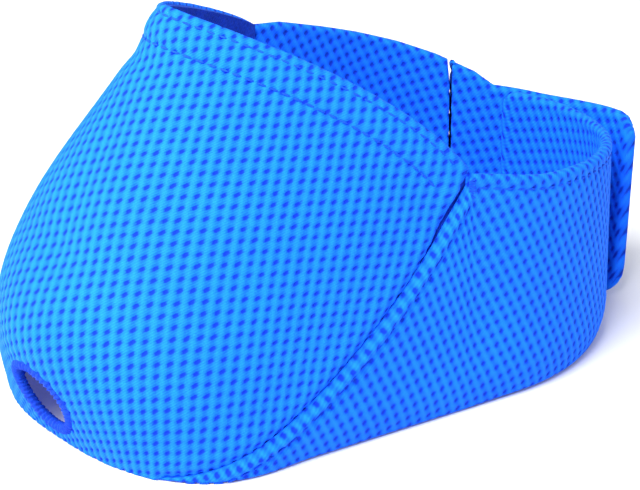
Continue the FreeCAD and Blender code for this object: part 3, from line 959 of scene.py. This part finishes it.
RIGHT_TOP = [(85.0, 55.0), (104.0, 51.0), (NECK.back_x + NECK.second, 46.0)]
LEFT_TOP = [(85.0, 67.0), (92.6, 66.2), (104.1, 62.9), (115.5, 59.3), (125.3, 55.9), (133.7, 52.3), (140.7, 48.2),
            (143.7, 45.2), (151.0, 45.0)]


@dataclass
class SideCloth:
    """Cloth folded double, with its fold at the bottom: a gusset, a strap, or both in one."""

    name: str
    side: Side
    bends: list[Bend]
    heights: list[tuple[float, float]]
    gusset: bool = True
    straight: bool = True
    free_end: bool = True
    seam_cloth: float = 1.4
    strap_cloth: float = 2.3
    corner: float = 5.0
    curl: float = 2.2
    curl_height: float = 9.0
    flare: float = 0.0
    flare_run: float = 26.0
    flare_foot: float = 0.68
    edge_round: float = 1.6
    hem_row: float = 3.0
    welt_row: float = 3.6
    pitch: float = 3.0
    run_offset: float = 0.0
    halvings: int = 26
    row_sink: float = 0.42
    row_reach: float = 0.62
    seam_sink: float = 1.0
    welt_rise: float = 0.85
    welt_sink: float = 0.62

    def __post_init__(self) -> None:
        """Lay out the run: the gusset along the rim before 0, the strap after it."""
        head = self.bends[0].at(np.array([0.0]))
        self.wall = abs(float(head[1][0]))
        self.line = float(head[0][0]) - HEAD.corner_x if self.straight else 0.0
        self.end = self.line + sum(bend.length for bend in self.bends)
        runs = np.linspace(0.0, self.end, 400)
        self.back_run = float(runs[self.plan(runs)[0].argmax()])
        self.start = 0.0
        if self.gusset:
            s = np.linspace(0, 1, 600)
            rim = HEAD.rim(s)
            self.rim_s = s[rim[:, 0] >= HEAD.seam_foot + 0.3]
            runs = run_length(HEAD.rim(self.rim_s))
            self.rim_run = runs - runs[-1]
            self.start = float(self.rim_run[0])
            sign = self.side.value
            w = HEAD.seam_w(sign * self.rim_s)
            self.rim_top = HEAD.point(sign * self.rim_s, w)[:, 2]

    def top(self, p: Array) -> Array:
        """Height of the top edge.

        Args:
            p: runs along the piece.

        Returns:
            The height at each.
        """
        x = self.plan(p)[0]
        marks, heights = zip(*self.heights)
        high = np.interp(np.where(p > self.back_run, marks[-1], x), marks, heights)
        if self.gusset:
            high = np.where(p < 0, np.interp(p, self.rim_run, self.rim_top), high)
        return high

    def plan(self, p: Array) -> tuple[Array, Array, Array]:
        """Plan points of the strap's outer face.

        Args:
            p: runs along the piece.

        Returns:
            The points' x and y, and the outward angle at each.
        """
        x, y = HEAD.corner_x + p, np.full_like(p, self.side.value * self.wall)
        angle = np.full_like(p, self.side.value * math.pi / 2)
        start = self.line
        for bend in self.bends:
            bx, by, ba = bend.at(p - start)
            here = p >= start
            x, y, angle = np.where(here, bx, x), np.where(here, by, y), np.where(here, ba, angle)
            start += bend.length
        return x, y, angle

    def base(self, p: Array, z: Array) -> Array:
        """Points of the plain outer face.

        Args:
            p: runs along the piece.
            z: heights.

        Returns:
            The points.
        """
        x, y, angle = self.plan(p)
        rise = self.flare_foot + (1 - self.flare_foot) * np.clip(z / 40, 0, 1)
        flare = self.flare * smooth(p, self.end - self.flare_run, self.end) * rise
        x, y = x + flare * np.cos(angle), y + flare * np.sin(angle)
        if self.straight:
            head_y = HEAD.rim_half + (HEAD.corner_y[self.side] - HEAD.rim_half) * z / HEAD.corner_z[self.side]
            near = 1 - smooth(p, 0.0, 13.0)
            y = y + self.side.value * (head_y - self.wall) * near
        points = np.stack([x, y, z], axis=-1)
        if self.gusset:
            before = p < 0
            s = np.interp(p, self.rim_run, self.rim_s)
            u = self.side.value * s
            low, high = np.zeros_like(u), np.ones_like(u)
            for _ in range(self.halvings):
                middle = (low + high) / 2
                under = HEAD.point(u, middle)[..., 2] < z
                low, high = np.where(under, middle, low), np.where(under, high, middle)
            points = np.where(before[..., None], HEAD.point(u, (low + high) / 2), points)
        return points

    def outward(self, p: Array, z: Array) -> Array:
        """The outward direction of the plain face.

        Args:
            p: runs along the piece.
            z: heights.

        Returns:
            A direction of length one at each place.
        """
        step = 0.4
        along = self.base(p + step, z) - self.base(p - step, z)
        up = self.base(p, z + step) - self.base(p, np.maximum(z - step, 0.0))
        return unit(np.cross(along, up) * -self.side.value)

    def dress(self, p: Array, z: Array, points: Array) -> Array:
        """How far sewing lifts or sinks the outer face.

        Args:
            p: runs along the piece.
            z: heights.
            points: the plain face's points there.

        Returns:
            The height at each place, outward positive.
        """
        pull = beat(p, self.pitch)
        drop = self.top(p) - z
        height = -self.row_sink * hump(drop, self.hem_row, self.row_reach) * pull + 0.18 * hump(drop, 1.3, 0.8)
        if self.gusset:
            away = HEAD.below_seam(points)
            welt = -self.seam_sink * hump(away, 0.0, 0.95) + self.welt_rise * hump(away, 2.0, 1.05)
            welt = welt - self.welt_sink * hump(away, self.welt_row, self.row_reach) * pull
            welt = welt + 0.2 * hump(away, 5.2, 1.3)
            near = 1 - smooth(p, -4.0, 1.5)
            height = height * (1 - near) + welt * near
        return height

    def thickness(self, p: Array) -> Array:
        """Thickness of the folded cloth.

        Args:
            p: runs along the piece.

        Returns:
            The thickness at each.
        """
        thick = self.seam_cloth + (self.strap_cloth - self.seam_cloth) * smooth(p, -4.0, 10.0)
        if self.free_end:
            short = np.clip((p - (self.end - self.edge_round)) / self.edge_round, 0, 1)
            thick = thick * np.sqrt(1 - short ** 2)
        return thick

    def trim(self, p: Array) -> tuple[Array, Array]:
        """Heights of the bottom and the top, with the free end's corners rounded.

        Args:
            p: runs along the piece.

        Returns:
            The bottom's and the top's height at each.
        """
        high, low = self.top(p), np.zeros_like(p)
        if self.free_end:
            reach = np.clip(p - (self.end - self.corner), 0, self.corner)
            cut = self.corner - np.sqrt(np.maximum(self.corner ** 2 - reach ** 2, 0))
            high, low = high - cut, low + cut
        return low, high

    def make(self, cloth: bpy.types.Material) -> bpy.types.Object:
        """Knit the piece as one closed tube, flattened into two layers.

        Args:
            cloth: the cloth's material.

        Returns:
            The new object.
        """
        step = STRAP_WEAVE.step
        columns = math.floor((self.end - self.start) / step)
        spacing = (self.end - self.start) / columns
        tallest = max(height for _, height in self.heights)
        layer_rows = math.ceil((tallest + self.strap_cloth) / step)

        def place(i: Array, j: Array) -> tuple[Array, Array, Array]:
            """Grid numbers to points, lattice coordinates and a keep mask."""
            p = self.start + i * spacing
            inner = j < layer_rows
            low, high = self.trim(p)
            thick = self.thickness(p)
            radius = np.maximum(np.minimum(thick, high - low) / 2, 1e-4)
            whole = math.pi * radius + high - low - 2 * radius
            along = np.minimum(np.abs(j - layer_rows) * step, whole)
            quarter = math.pi / 2 * radius
            from_top = np.minimum(whole - along, along)
            angle = np.clip(from_top / radius, 0, math.pi / 2)
            rise = np.where(from_top < quarter, radius * (1 - np.cos(angle)), radius + from_top - quarter)
            depth = np.where(from_top < quarter, radius * (1 - np.sin(angle)), 0.0)
            z = np.where(along < whole / 2, low + rise, high - rise)
            m, n = STRAP_WEAVE.lattice(self.side.value * -(p + self.run_offset), np.where(inner, -along, along))
            plain = self.base(p, z)
            normal = self.outward(p, z)
            fade = smooth(along, 0.0, 3.0) * smooth(whole - along, 0.1, 1.3)
            fade = fade * smooth(high - low, 1.0, 4.0)
            if self.free_end:
                fade = fade * smooth(self.end - p, 0.3, 1.8)
            knit = STRAP_WEAVE.relief(m, n)
            face = np.where(inner, thick, 0.0) + np.where(inner, -depth, depth)
            sewn = self.dress(p, z, plain) * fade
            lift = np.where(inner, -0.4 * sewn - knit * fade, sewn + knit * fade)
            under = self.curl * np.clip(1 - z / self.curl_height, 0, 1) ** 2 * smooth(high, 2.0, 14.0)
            points = plain + normal * (lift - face - under)[:, None]
            return points, np.stack([m, n], 1), np.ones(len(p), bool)

        return Shop.sheet(self.name, columns, 2 * layer_rows, place, cloth, closed=True)

    def row(self, first: float, last: float, drop: float, sink: float = 0.1) -> tuple[Array, Array, Array]:
        """Stitch places along the top edge.

        Args:
            first: run of the first stitch.
            last: run of the last one.
            drop: distance below the top edge.
            sink: how far the middle of the thread lies below the plain face.

        Returns:
            The stitches' centres, headings and outward directions.
        """
        count = max(2, round((last - first) / self.pitch))
        p = first + (np.arange(count) + 0.5) * (last - first) / count
        return self.level(p, self.top(p) - drop, self.top(p + 0.5) - drop, sink)

    def seam_stitches(self, sink: float) -> tuple[Array, Array, Array]:
        """Stitch places along the cheek seam's welt.

        Args:
            sink: how far the thread's middle lies below the plain face.

        Returns:
            The stitches' centres, headings and outward directions.
        """
        p = np.arange(math.ceil((self.start + 6) / self.pitch), 0) * self.pitch
        u = self.side.value * np.interp(p, self.rim_run, self.rim_s)
        u_next = self.side.value * np.interp(p + 0.5, self.rim_run, self.rim_s)
        w, w_next = HEAD.seam_w(u, self.welt_row), HEAD.seam_w(u_next, self.welt_row)
        centre, normal = HEAD.point(u, w), HEAD.normal(u, w)
        return centre - normal * sink, HEAD.point(u_next, w_next) - centre, normal

    def level(self, p: Array, z: Array, z_next: Array, sink: float) -> tuple[Array, Array, Array]:
        """Stitch places at given runs and heights.

        Args:
            p: runs along the piece.
            z: heights.
            z_next: heights half a millimetre further on.
            sink: how far the thread's middle lies below the plain face.

        Returns:
            The stitches' centres, headings and outward directions.
        """
        centre = self.base(p, z)
        head = self.base(p + 0.5, z_next) - centre
        normal = self.outward(p, z)
        return centre - normal * sink, head, normal


# ------------------------------------------------------------------ materials

class Socket:
    """An output socket that can be used in arithmetic; every step adds a Math node."""

    def __init__(self, kit: "Dye", socket: bpy.types.NodeSocket) -> None:
        """Wrap a socket of a material."""
        self.kit, self.socket = kit, socket

    def math(self, operation: str, *others: "Socket | float") -> "Socket":
        """A Math node on this socket and others."""
        return self.kit.node("ShaderNodeMath", {"operation": operation}, [self, *others]).out()

    def __add__(self, other: "Socket | float") -> "Socket":
        """Sum."""
        return self.math("ADD", other)

    __radd__ = __add__

    def __mul__(self, other: "Socket | float") -> "Socket":
        """Product."""
        return self.math("MULTIPLY", other)

    __rmul__ = __mul__

    def __sub__(self, other: "Socket | float") -> "Socket":
        """Difference."""
        return self.math("SUBTRACT", other)

    def __rsub__(self, other: float) -> "Socket":
        """Difference from a number."""
        return self * -1.0 + other

    def cos_turns(self) -> "Socket":
        """The cosine of this many full turns."""
        return (self * (2 * math.pi)).math("COSINE")

    def clamp(self) -> "Socket":
        """Held between 0 and 1."""
        return self.math("MAXIMUM", 0.0).math("MINIMUM", 1.0)


class Node:
    """A made node, whose outputs are fetched by name."""

    def __init__(self, kit: "Dye", node: bpy.types.Node) -> None:
        """Wrap a node of a material."""
        self.kit, self.raw = kit, node

    def out(self, name: str | int = 0) -> Socket:
        """One of its outputs."""
        return Socket(self.kit, self.raw.outputs[name])


class Dye:
    """A material in the making."""

    def __init__(self, name: str) -> None:
        """Start a material with its shader."""
        self.material = bpy.data.materials.new(name)
        self.material.use_nodes = True
        self.tree = self.material.node_tree
        self.shader = self.tree.nodes["Principled BSDF"]

    def node(self, kind: str, settings: dict[str, object], inputs: list | dict) -> Node:
        """Add a node.

        Args:
            kind: the node's type.
            settings: its properties, set first.
            inputs: values or links for its sockets, in order or by name.

        Returns:
            The wrapped node.
        """
        made = self.tree.nodes.new(kind)
        for key, value in settings.items():
            if key == "stops":
                self._stops(made, value)
            else:
                setattr(made, key, value)
        pairs = inputs.items() if isinstance(inputs, dict) else enumerate(inputs)
        for key, value in pairs:
            self.feed(made.inputs[key], value)
        return Node(self, made)

    def feed(self, target: bpy.types.NodeSocket, value: object) -> None:
        """Link a socket to a target, or set the target's value."""
        if isinstance(value, Socket):
            self.tree.links.new(value.socket, target)
        else:
            target.default_value = value

    @staticmethod
    def _stops(ramp: bpy.types.Node, stops: list[tuple[float, tuple]]) -> None:
        """Set a colour ramp's stops."""
        elements = ramp.color_ramp.elements
        while len(elements) > 1:
            elements.remove(elements[-1])
        elements[0].position, elements[0].color = stops[0][0], (*stops[0][1], 1.0)
        for position, colour in stops[1:]:
            elements.new(position).color = (*colour, 1.0)

    def set(self, **values: object) -> None:
        """Set or link sockets of the shader; underscores stand for spaces."""
        for key, value in values.items():
            self.feed(self.shader.inputs[key.replace("_", " ")], value)

    def noise(self, scale: float, detail: float = 2.0) -> Socket:
        """A noise value on object coordinates."""
        where = self.node("ShaderNodeTexCoord", {}, []).out("Object")
        return self.node("ShaderNodeTexNoise", {}, {"Vector": where, "Scale": scale, "Detail": detail}).out(0)

    def bump(self, height: Socket, distance: float, strength: float = 1.0) -> None:
        """Feed a height to the shader's normal."""
        made = self.node("ShaderNodeBump", {}, {"Height": height, "Distance": distance, "Strength": strength})
        self.set(Normal=made.out())


Colour = tuple[float, float, float]


@dataclass(frozen=True)
class MeshCloth:
    """Blue knitted polyester mesh with fine strands between its ribs; painted shade darkens its slanting pits and a
    painted highlight pales its ribs.
    """

    name: str = "blue_mesh"
    # The darkest stop is painted shade for the pits and the brightest a painted highlight for the ribs; both also
    # carry the cloth's random tone.
    painted_shade_and_dark_tone: Colour = (0.0008, 0.030, 0.50)
    middle: Colour = (0.0022, 0.118, 0.90)
    painted_highlight_and_pale_tone: Colour = (0.0050, 0.200, 1.0)
    sharp: float = 1.7

    def make(self) -> bpy.types.Material:
        """Build the material on the knit's lattice coordinates."""
        dye = Dye(self.name)
        knit = dye.node("ShaderNodeUVMap", {"uv_map": "knit"}, []).out()
        split = dye.node("ShaderNodeSeparateXYZ", {}, [knit])
        wander = (dye.noise(900.0, 3.0) - 0.5) * 0.22
        m, n = split.out("X") + wander, split.out("Y") - wander
        drops = [(turns.cos_turns() - 1.0) * weight for weight, turns in zip(PIT_WEIGHTS, (m, n, m + n))]
        drop = drops[0] + drops[1] + drops[2]
        pit = (drop * self.sharp).math("EXPONENT")
        rib = 0.5 - m.cos_turns() * 0.5
        strand = (n * 4.0 + m * 2.0).cos_turns() * 0.5 + 0.5
        fuzz = dye.noise(2600.0, 3.0)
        cloud = dye.noise(45.0, 3.0)
        # Painted shade and highlight: the pits are darkened and the raised ribs lightened in the base colour; strand,
        # fuzz and cloud are the knit's own random tone.
        tone = (rib * 0.30 + strand * 0.16 + fuzz * 0.30 + cloud * 0.22 + 0.10 - pit * 0.85).clamp()
        ramp = dye.node("ShaderNodeValToRGB", {"stops": [(0.0, self.painted_shade_and_dark_tone), (0.42, self.middle), (0.85, self.painted_highlight_and_pale_tone)]},
                        [tone])
        dye.set(Base_Color=ramp.out("Color"), Roughness=0.86 - rib * 0.10)
        dye.set(**{"Specular IOR Level": 0.16, "Sheen Weight": 0.10, "Sheen Roughness": 0.45,
                   "Sheen Tint": (0.05, 0.45, 1.0, 1.0)})
        dye.bump(rib * 0.35 - pit * 0.75 + strand * 0.16 + fuzz * 0.22, 0.00035, 0.75)
        return dye.material


@dataclass(frozen=True)
class Yarn:
    """Sewing thread, binding or tape: a fibrous finish on object coordinates."""

    name: str
    dark: Colour
    light: Colour
    grain: float
    depth: float
    rough: float = 0.8

    def make(self) -> bpy.types.Material:
        """Build the material."""
        dye = Dye(self.name)
        grain, cloud = dye.noise(self.grain, 4.0), dye.noise(self.grain / 12, 2.0)
        tone = (grain * 0.8 + cloud * 0.5 - 0.15).clamp()
        ramp = dye.node("ShaderNodeValToRGB", {"stops": [(0.15, self.dark), (0.85, self.light)]}, [tone])
        dye.set(Base_Color=ramp.out("Color"), Roughness=self.rough - grain * 0.1)
        dye.set(**{"Specular IOR Level": 0.2, "Sheen Weight": 0.08, "Sheen Roughness": 0.4,
                   "Sheen Tint": (0.05, 0.4, 1.0, 1.0)})
        dye.bump(grain, self.depth, 0.8)
        return dye.material


# ------------------------------------------------------------------ the studio

@dataclass
class Studio:
    """A pale floor, soft light and the camera."""

    target: Vector = field(default_factory=lambda: Vector((-0.0015, 0.0, 0.038)))
    azimuth: float = math.radians(-36.12)
    elevation: float = math.radians(21.42)
    distance: float = 0.7203
    lens: float = 182.3
    aim_right: float = 0.00169
    aim_up: float = -0.00867

    def make(self) -> None:
        """Build the floor, the lights and the camera."""
        self._floor()
        self._light("key", (-0.42, -0.22, 0.62), 0.50, 11.0)
        self._light("front_fill", (-0.55, 0.30, 0.25), 0.60, 4.0)
        self._light("right_fill", (0.25, -0.85, 0.35), 0.80, 1.2)
        world = bpy.data.worlds.new("studio")
        bpy.context.scene.world = world
        world.use_nodes = True
        background = world.node_tree.nodes["Background"]
        background.inputs["Color"].default_value = (1.0, 1.0, 1.0, 1.0)
        background.inputs["Strength"].default_value = 0.62
        bpy.context.scene.view_settings.view_transform = "Standard"
        self._camera()

    @staticmethod
    def _floor() -> None:
        """A wide pale floor."""
        bm = bmesh.new()
        bmesh.ops.create_grid(bm, x_segments=2, y_segments=2, size=6.0)
        dye = Dye("pale_floor")
        dye.set(Base_Color=(0.86, 0.87, 0.88, 1.0), Roughness=0.9)
        floor = Shop.finish("floor", bm, dye.material)
        floor.data.transform(Matrix.Translation((0.0, 0.0, -0.0002)))

    @staticmethod
    def _light(name: str, place: tuple[float, float, float], size: float, power: float) -> None:
        """A square soft light aimed at the muzzle."""
        data = bpy.data.lights.new(name, "AREA")
        data.size, data.energy = size, power
        lamp = bpy.data.objects.new(name, data)
        lamp.location = place
        lamp.rotation_euler = (Vector((0.0, 0.0, 0.04)) - Vector(place)).to_track_quat("-Z", "Y").to_euler()
        bpy.context.scene.collection.objects.link(lamp)

    def _camera(self) -> None:
        """The camera, at three quarters from the front right."""
        a, e = self.azimuth, self.elevation
        back = Vector((math.sin(a) * math.cos(e), -math.cos(a) * math.cos(e), math.sin(e)))
        right = Vector((math.cos(a), math.sin(a), 0.0))
        up = back.cross(right)
        data = bpy.data.cameras.new("camera")
        data.lens, data.sensor_width = self.lens, 36.0
        data.clip_start, data.clip_end = 0.01, 50.0
        camera = bpy.data.objects.new("camera", data)
        camera.location = self.target + back * self.distance
        aim = self.target + right * self.aim_right + up * self.aim_up
        camera.rotation_euler = (aim - camera.location).to_track_quat("-Z", "Y").to_euler()
        bpy.context.scene.collection.objects.link(camera)
        bpy.context.scene.camera = camera


# ------------------------------------------------------------------ the muzzle

@dataclass
class Muzzle:
    """The whole muzzle, piece by piece."""

    cup: FaceCup = field(default_factory=FaceCup)
    tape_rows: tuple[float, float] = (6.5, 36.5)
    tape_start: float = 13.0
    tape_inset: float = 3.5
    tack_floats: int = 9
    tack_pitch: float = 0.5

    def make(self) -> None:
        """Build every piece, and put the face panel, the nose hole edging and the brim, seam, tack and tab stitches
        on their bodies.
        """
        self.cloth = MeshCloth().make()
        # The thread's darker blue is painted shade: the thread matches the cloth, and its stitches sink into shaded
        # dips.
        self.thread = Yarn("blue_thread_painted_shade", (0.001, 0.03, 0.42), (0.003, 0.10, 0.80), 3000.0, 0.0001).make()
        self.binding = Yarn("fuzzy_binding", (0.0005, 0.012, 0.22), (0.002, 0.07, 0.70), 1500.0, 0.0003).make()
        self.right = SideCloth("right_side_cloth", Side.RIGHT, NECK.right(), RIGHT_TOP)
        self.left = SideCloth("left_side_cloth", Side.LEFT, NECK.left(), LEFT_TOP, free_end=False)
        self.tab = SideCloth("closure_tab_cloth", Side.LEFT, NECK.tab(), LEFT_TOP, gusset=False, straight=False,
                             flare=6.2, seam_cloth=2.3, run_offset=self.left.end)
        panel = self.cup.make_panel(self.cloth)
        self._settle(panel, "cup", Slot.CLOTH, "face_panel")
        right = self.right.make(self.cloth)
        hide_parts("right_cheek_gusset", "right_strap")
        self._bend(right, "cup", "right_strap")
        left = self.left.make(self.cloth)
        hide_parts("left_cheek_gusset", "left_strap")
        self._bend(left, "cup", "left_strap")
        tab = self.tab.make(self.cloth)
        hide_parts("closure_tab")
        start, end = Shop.metres(np.array(TAB_SPAN))
        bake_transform(tab)
        self._declare(right, left, tab)
        self._stitch()
        self._settle(HoleEdging().make(self.binding), "cup", Slot.BINDING, "nose_hole_binding")
        for node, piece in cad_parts.items():
            if not piece.hide_render:
                piece.data.materials.clear()
                piece.data.materials.append(self.binding if "thread" not in node else self.thread)

    def _declare(self, right: bpy.types.Object, left: bpy.types.Object,
                 tab: bpy.types.Object) -> None:
        """Log what the side pieces and the tab were cut to, in millimetres, as they lie folded.

        Args:
            right: the right side piece.
            left: the left side piece.
            tab: the closure tab.
        """
        self.cup.area * 1e-6
        for piece, cloth in ((right, self.right), (left, self.left), (tab, self.tab)):
            runs = np.linspace(cloth.start, cloth.end, 300)
            tall = float(cloth.top(runs).max())
            area = float(cloth.top(runs).mean()) * (cloth.end - cloth.start)
            log.info("%s cut %.0f x %.0f mm", piece.name, cloth.end - cloth.start, tall)
            (cloth.end - cloth.start) * MM
            area * 1e-6

    def _stitch(self) -> None:
        """Sew every row, stitch by stitch."""
        thread = self.thread
        for name, drop in (("brim_edge", self.cup.edge_row), ("brim_hem", self.cup.hem_row)):
            row = Shop.stitches(name + "_stitches", *self.cup.row(drop, 0.12), thread)
            self._settle(row, "cup", Slot.THREAD, name + "_thread")
        for cloth, side in ((self.right, "right"), (self.left, "left")):
            row = Shop.stitches(side + "_seam_stitches", *cloth.seam_stitches(0.2), thread)
            self._settle(row, "cup", Slot.THREAD, side + "_seam_thread")
            row = Shop.stitches(side + "_strap_stitches", *cloth.row(1.0, cloth.end - 6, cloth.hem_row), thread)
            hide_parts(side + "_strap_thread")
            self._bend(row, "cup", side + "_strap")
            tacks = self._tack(cloth)
            row = Shop.stitches(side + "_tack_stitches", *tacks, thread, length=2.2, radius=0.26)
            self._settle(row, "cup", Slot.THREAD, side + "_bar_tack")
        tab = self.tab
        low, top = self.tape_rows
        runs = np.arange(self.tape_start, tab.end - self.tape_inset, tab.pitch)
        parts = [tab.level(runs, np.full_like(runs, z), np.full_like(runs, z), 0.05) for z in (low, top)]
        heights = np.arange(low + tab.pitch, top - 1.0, tab.pitch)
        last = np.full_like(heights, runs[-1] + 1.2)
        parts.append(tab.level(last, heights, heights, 0.05))
        centres, heads, ups = (np.concatenate([part[k] for part in parts]) for k in range(3))
        heads[-len(heights):] = np.array([0.0, 0.0, 1.0])
        row = Shop.stitches("closure_tab_stitches", centres, heads, ups, thread)
        self._settle(row, "closure_tab", Slot.THREAD, "closure_tab_thread")

    def _tack(self, cloth: SideCloth) -> tuple[Array, Array, Array]:
        """Places of a bar tack's short floats, one above another, at a cheek corner.

        Args:
            cloth: the side piece that the tack holds.

        Returns:
            The floats' centres, headings and outward directions.
        """
        floats = np.arange(self.tack_floats)
        z = HEAD.corner_z[cloth.side] - 1.2 - floats * self.tack_pitch
        p = np.full_like(z, -0.9)
        centre = cloth.base(p, z)
        normal = cloth.outward(p, z)
        slant = np.where(floats % 2 == 0, 0.12, -0.12)
        heads = np.stack([np.ones_like(slant), np.zeros_like(slant), slant], axis=1)
        return centre + normal * 0.15, heads, normal

    @staticmethod
    def _settle(piece: bpy.types.Object, body: str, slot: Slot, *nodes: str) -> None:
        """Put a piece on its body, in place of CAD nodes.

        Args:
            piece: the piece.
            body: the body that it rides on.
            slot: not used.
            nodes: the CAD nodes that it stands for.
        """
        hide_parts(*nodes)
        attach(piece, body)
        log.info("%s: %d faces", piece.name, len(piece.data.polygons))

    @staticmethod
    def _bend(piece: bpy.types.Object, fixed: str, moving: str) -> None:
        """Bake a piece's placing into its mesh and log its face count.

        Args:
            piece: the piece.
            fixed: not used.
            moving: not used.
        """
        start, end = Shop.metres(np.array([[x, 0.0, 20.0] for x in HINGE_SPAN]))
        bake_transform(piece)
        log.info("%s: %d faces", piece.name, len(piece.data.polygons))


def main() -> None:
    """Build the muzzle and its studio."""
    logging.basicConfig(level=logging.INFO, format="%(name)s: %(message)s")
    Muzzle().make()
    Studio().make()


if __name__ == "__main__":
    main()
